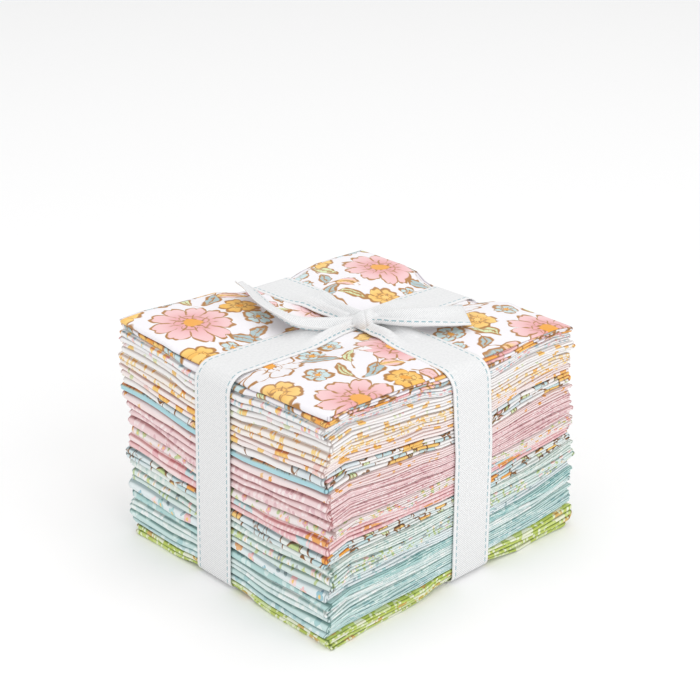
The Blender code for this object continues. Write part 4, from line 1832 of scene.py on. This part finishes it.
    def tied_knot(self) -> bpy.types.Object:
        """Builds the drawn-tight knot: a rounded body with the creases of the tape wrapped over it.

        Returns:
            The finished piece.
        """
        shape = bmesh.new()
        shape.loops.layers.uv.new("cloth")
        round_steps, end_steps = self.knot_segments
        bmesh.ops.create_uvsphere(
            shape, u_segments=round_steps, v_segments=end_steps, radius=0.5, calc_uvs=True
        )
        bmesh.ops.rotate(shape, matrix=Matrix.Rotation(math.pi / 2, 3, "Y"), verts=shape.verts)
        for vertex in shape.verts:
            vertex.co = self.wrapped(*vertex.co)
        place = Matrix.Translation(Vector(self.knot)) @ Matrix.Rotation(math.radians(self.knot_turn), 4, "Z")
        bmesh.ops.transform(shape, matrix=place @ Matrix.Diagonal((*self.knot_size, 1)), verts=shape.verts)
        for vertex in shape.verts:
            vertex.co = vertex.co * MM + CENTRING
        for face in shape.faces:
            face.smooth = True
        piece = finished_piece("ribbon_knot", shape, (self.material,))
        tape_across, tape_along = self.knot_tape
        for loop in piece.data.uv_layers["cloth"].data:
            across = (loop.uv.y * tape_across + self.knot_margin) * MM
            loop.uv = (across, loop.uv.x * tape_along * MM)
        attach(piece, "root")
        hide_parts("ribbon")
        return piece

    def build(self) -> None:
        """Builds every part of the ribbon and reports it."""
        for piece in (
            self.turn("ribbon_turn_long_way", True),
            self.turn("ribbon_turn_short_way", False),
            self.tail("ribbon_tail_left", self.left_tail, 0.0),
            self.tail("ribbon_tail_right", self.right_tail, 1.0),
            self.tied_knot(),
        ):
            LOG.info("tied %s", piece.name)


class Lamp(NamedTuple):
    """A square lamp: where it hangs and its side in metres, and its power in watts."""

    name: str
    place: tuple[float, float, float]
    size: float
    power: float


def aimed(
    name: str, data: bpy.types.AreaLight | bpy.types.Camera, place: Vector, way: Vector
) -> bpy.types.Object:
    """Stands a lamp or a camera in the scene.

    Args:
        name: the object's name.
        data: the lamp or camera.
        place: where it stands.
        way: where it points.

    Returns:
        The new object.
    """
    holder = bpy.data.objects.new(name, data)
    bpy.context.scene.collection.objects.link(holder)
    holder.location = place
    holder.rotation_euler = way.to_track_quat("-Z", "Y").to_euler()
    return holder


@dataclass
class Studio:
    """A plain pale floor, soft light and the photo's camera."""

    camera_place: tuple[float, float, float] = (414.72, -388.35, 316.99)
    look: tuple[float, float, float] = (-0.6742, 0.6327, -0.3809)
    focal: float = 77.14
    sensor: float = 36.0
    near_end: float = 0.01
    floor_half: float = 3.0
    floor_tone: float = 0.97
    room_light: float = 0.73
    lit_point: tuple[float, float, float] = (0.0, 0.0, 0.05)
    lamps: tuple[Lamp, ...] = (
        Lamp("key", (-0.3, -1.1, 0.8), 1.0, 2.0),
        Lamp("side", (1.2, 0.1, 0.7), 1.0, 4.2),
        Lamp("top", (0.1, 0.2, 3.0), 3.0, 27.0),
    )

    def build(self) -> None:
        """Sets the floor, the lights and the camera."""
        self.floor()
        self.lights()
        self.camera()

    def floor(self) -> None:
        """Lays the floor."""
        shape = bmesh.new()
        bmesh.ops.create_grid(shape, x_segments=8, y_segments=8, size=self.floor_half)
        material, _, surface = blank_material("pale_floor", 0.95, 0.0)
        surface.inputs["Base Color"].default_value = (*[self.floor_tone] * 3, 1.0)
        finished_piece("floor", shape, (material,))

    def lights(self) -> None:
        """Hangs the lamps and evens the room."""
        world = bpy.data.worlds.new("soft_room")
        bpy.context.scene.world = world
        world.use_nodes = True
        room = world.node_tree.nodes["Background"]
        room.inputs["Color"].default_value = (1.0, 1.0, 1.0, 1.0)
        room.inputs["Strength"].default_value = self.room_light
        for name, place, size, power in self.lamps:
            lamp = bpy.data.lights.new(name, "AREA")
            lamp.size, lamp.energy = size, power
            aimed(name, lamp, Vector(place), Vector(self.lit_point) - Vector(place))

    def camera(self) -> None:
        """Places the camera at the photo's angle."""
        camera = bpy.data.cameras.new("camera")
        camera.lens, camera.sensor_width = self.focal, self.sensor
        camera.clip_start = self.near_end
        place = Vector(self.camera_place) * MM + CENTRING
        bpy.context.scene.camera = aimed("camera", camera, place, Vector(self.look))


def main() -> None:
    """Builds the bundle from the floor up, then the ribbon and the studio."""
    logging.basicConfig(level=logging.INFO, format="%(message)s")
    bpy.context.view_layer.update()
    bpy.context.scene.view_settings.view_transform = "Standard"
    form, cotton = TiedForm(), Cotton()
    base = 0.0
    for number, row in enumerate(STACK, start=1):
        cloth = FoldedCloth(form, row, number, base)
        piece = cloth.build(cotton.material(row.cloth, False), cotton.material(row.cloth, True))
        LOG.info("folded %s in %s", piece.name, row.cloth.name.lower())
        base += row.height
    Ribbon(form, Tape().material()).build()
    Studio().build()


if __name__ == "__main__":
    main()
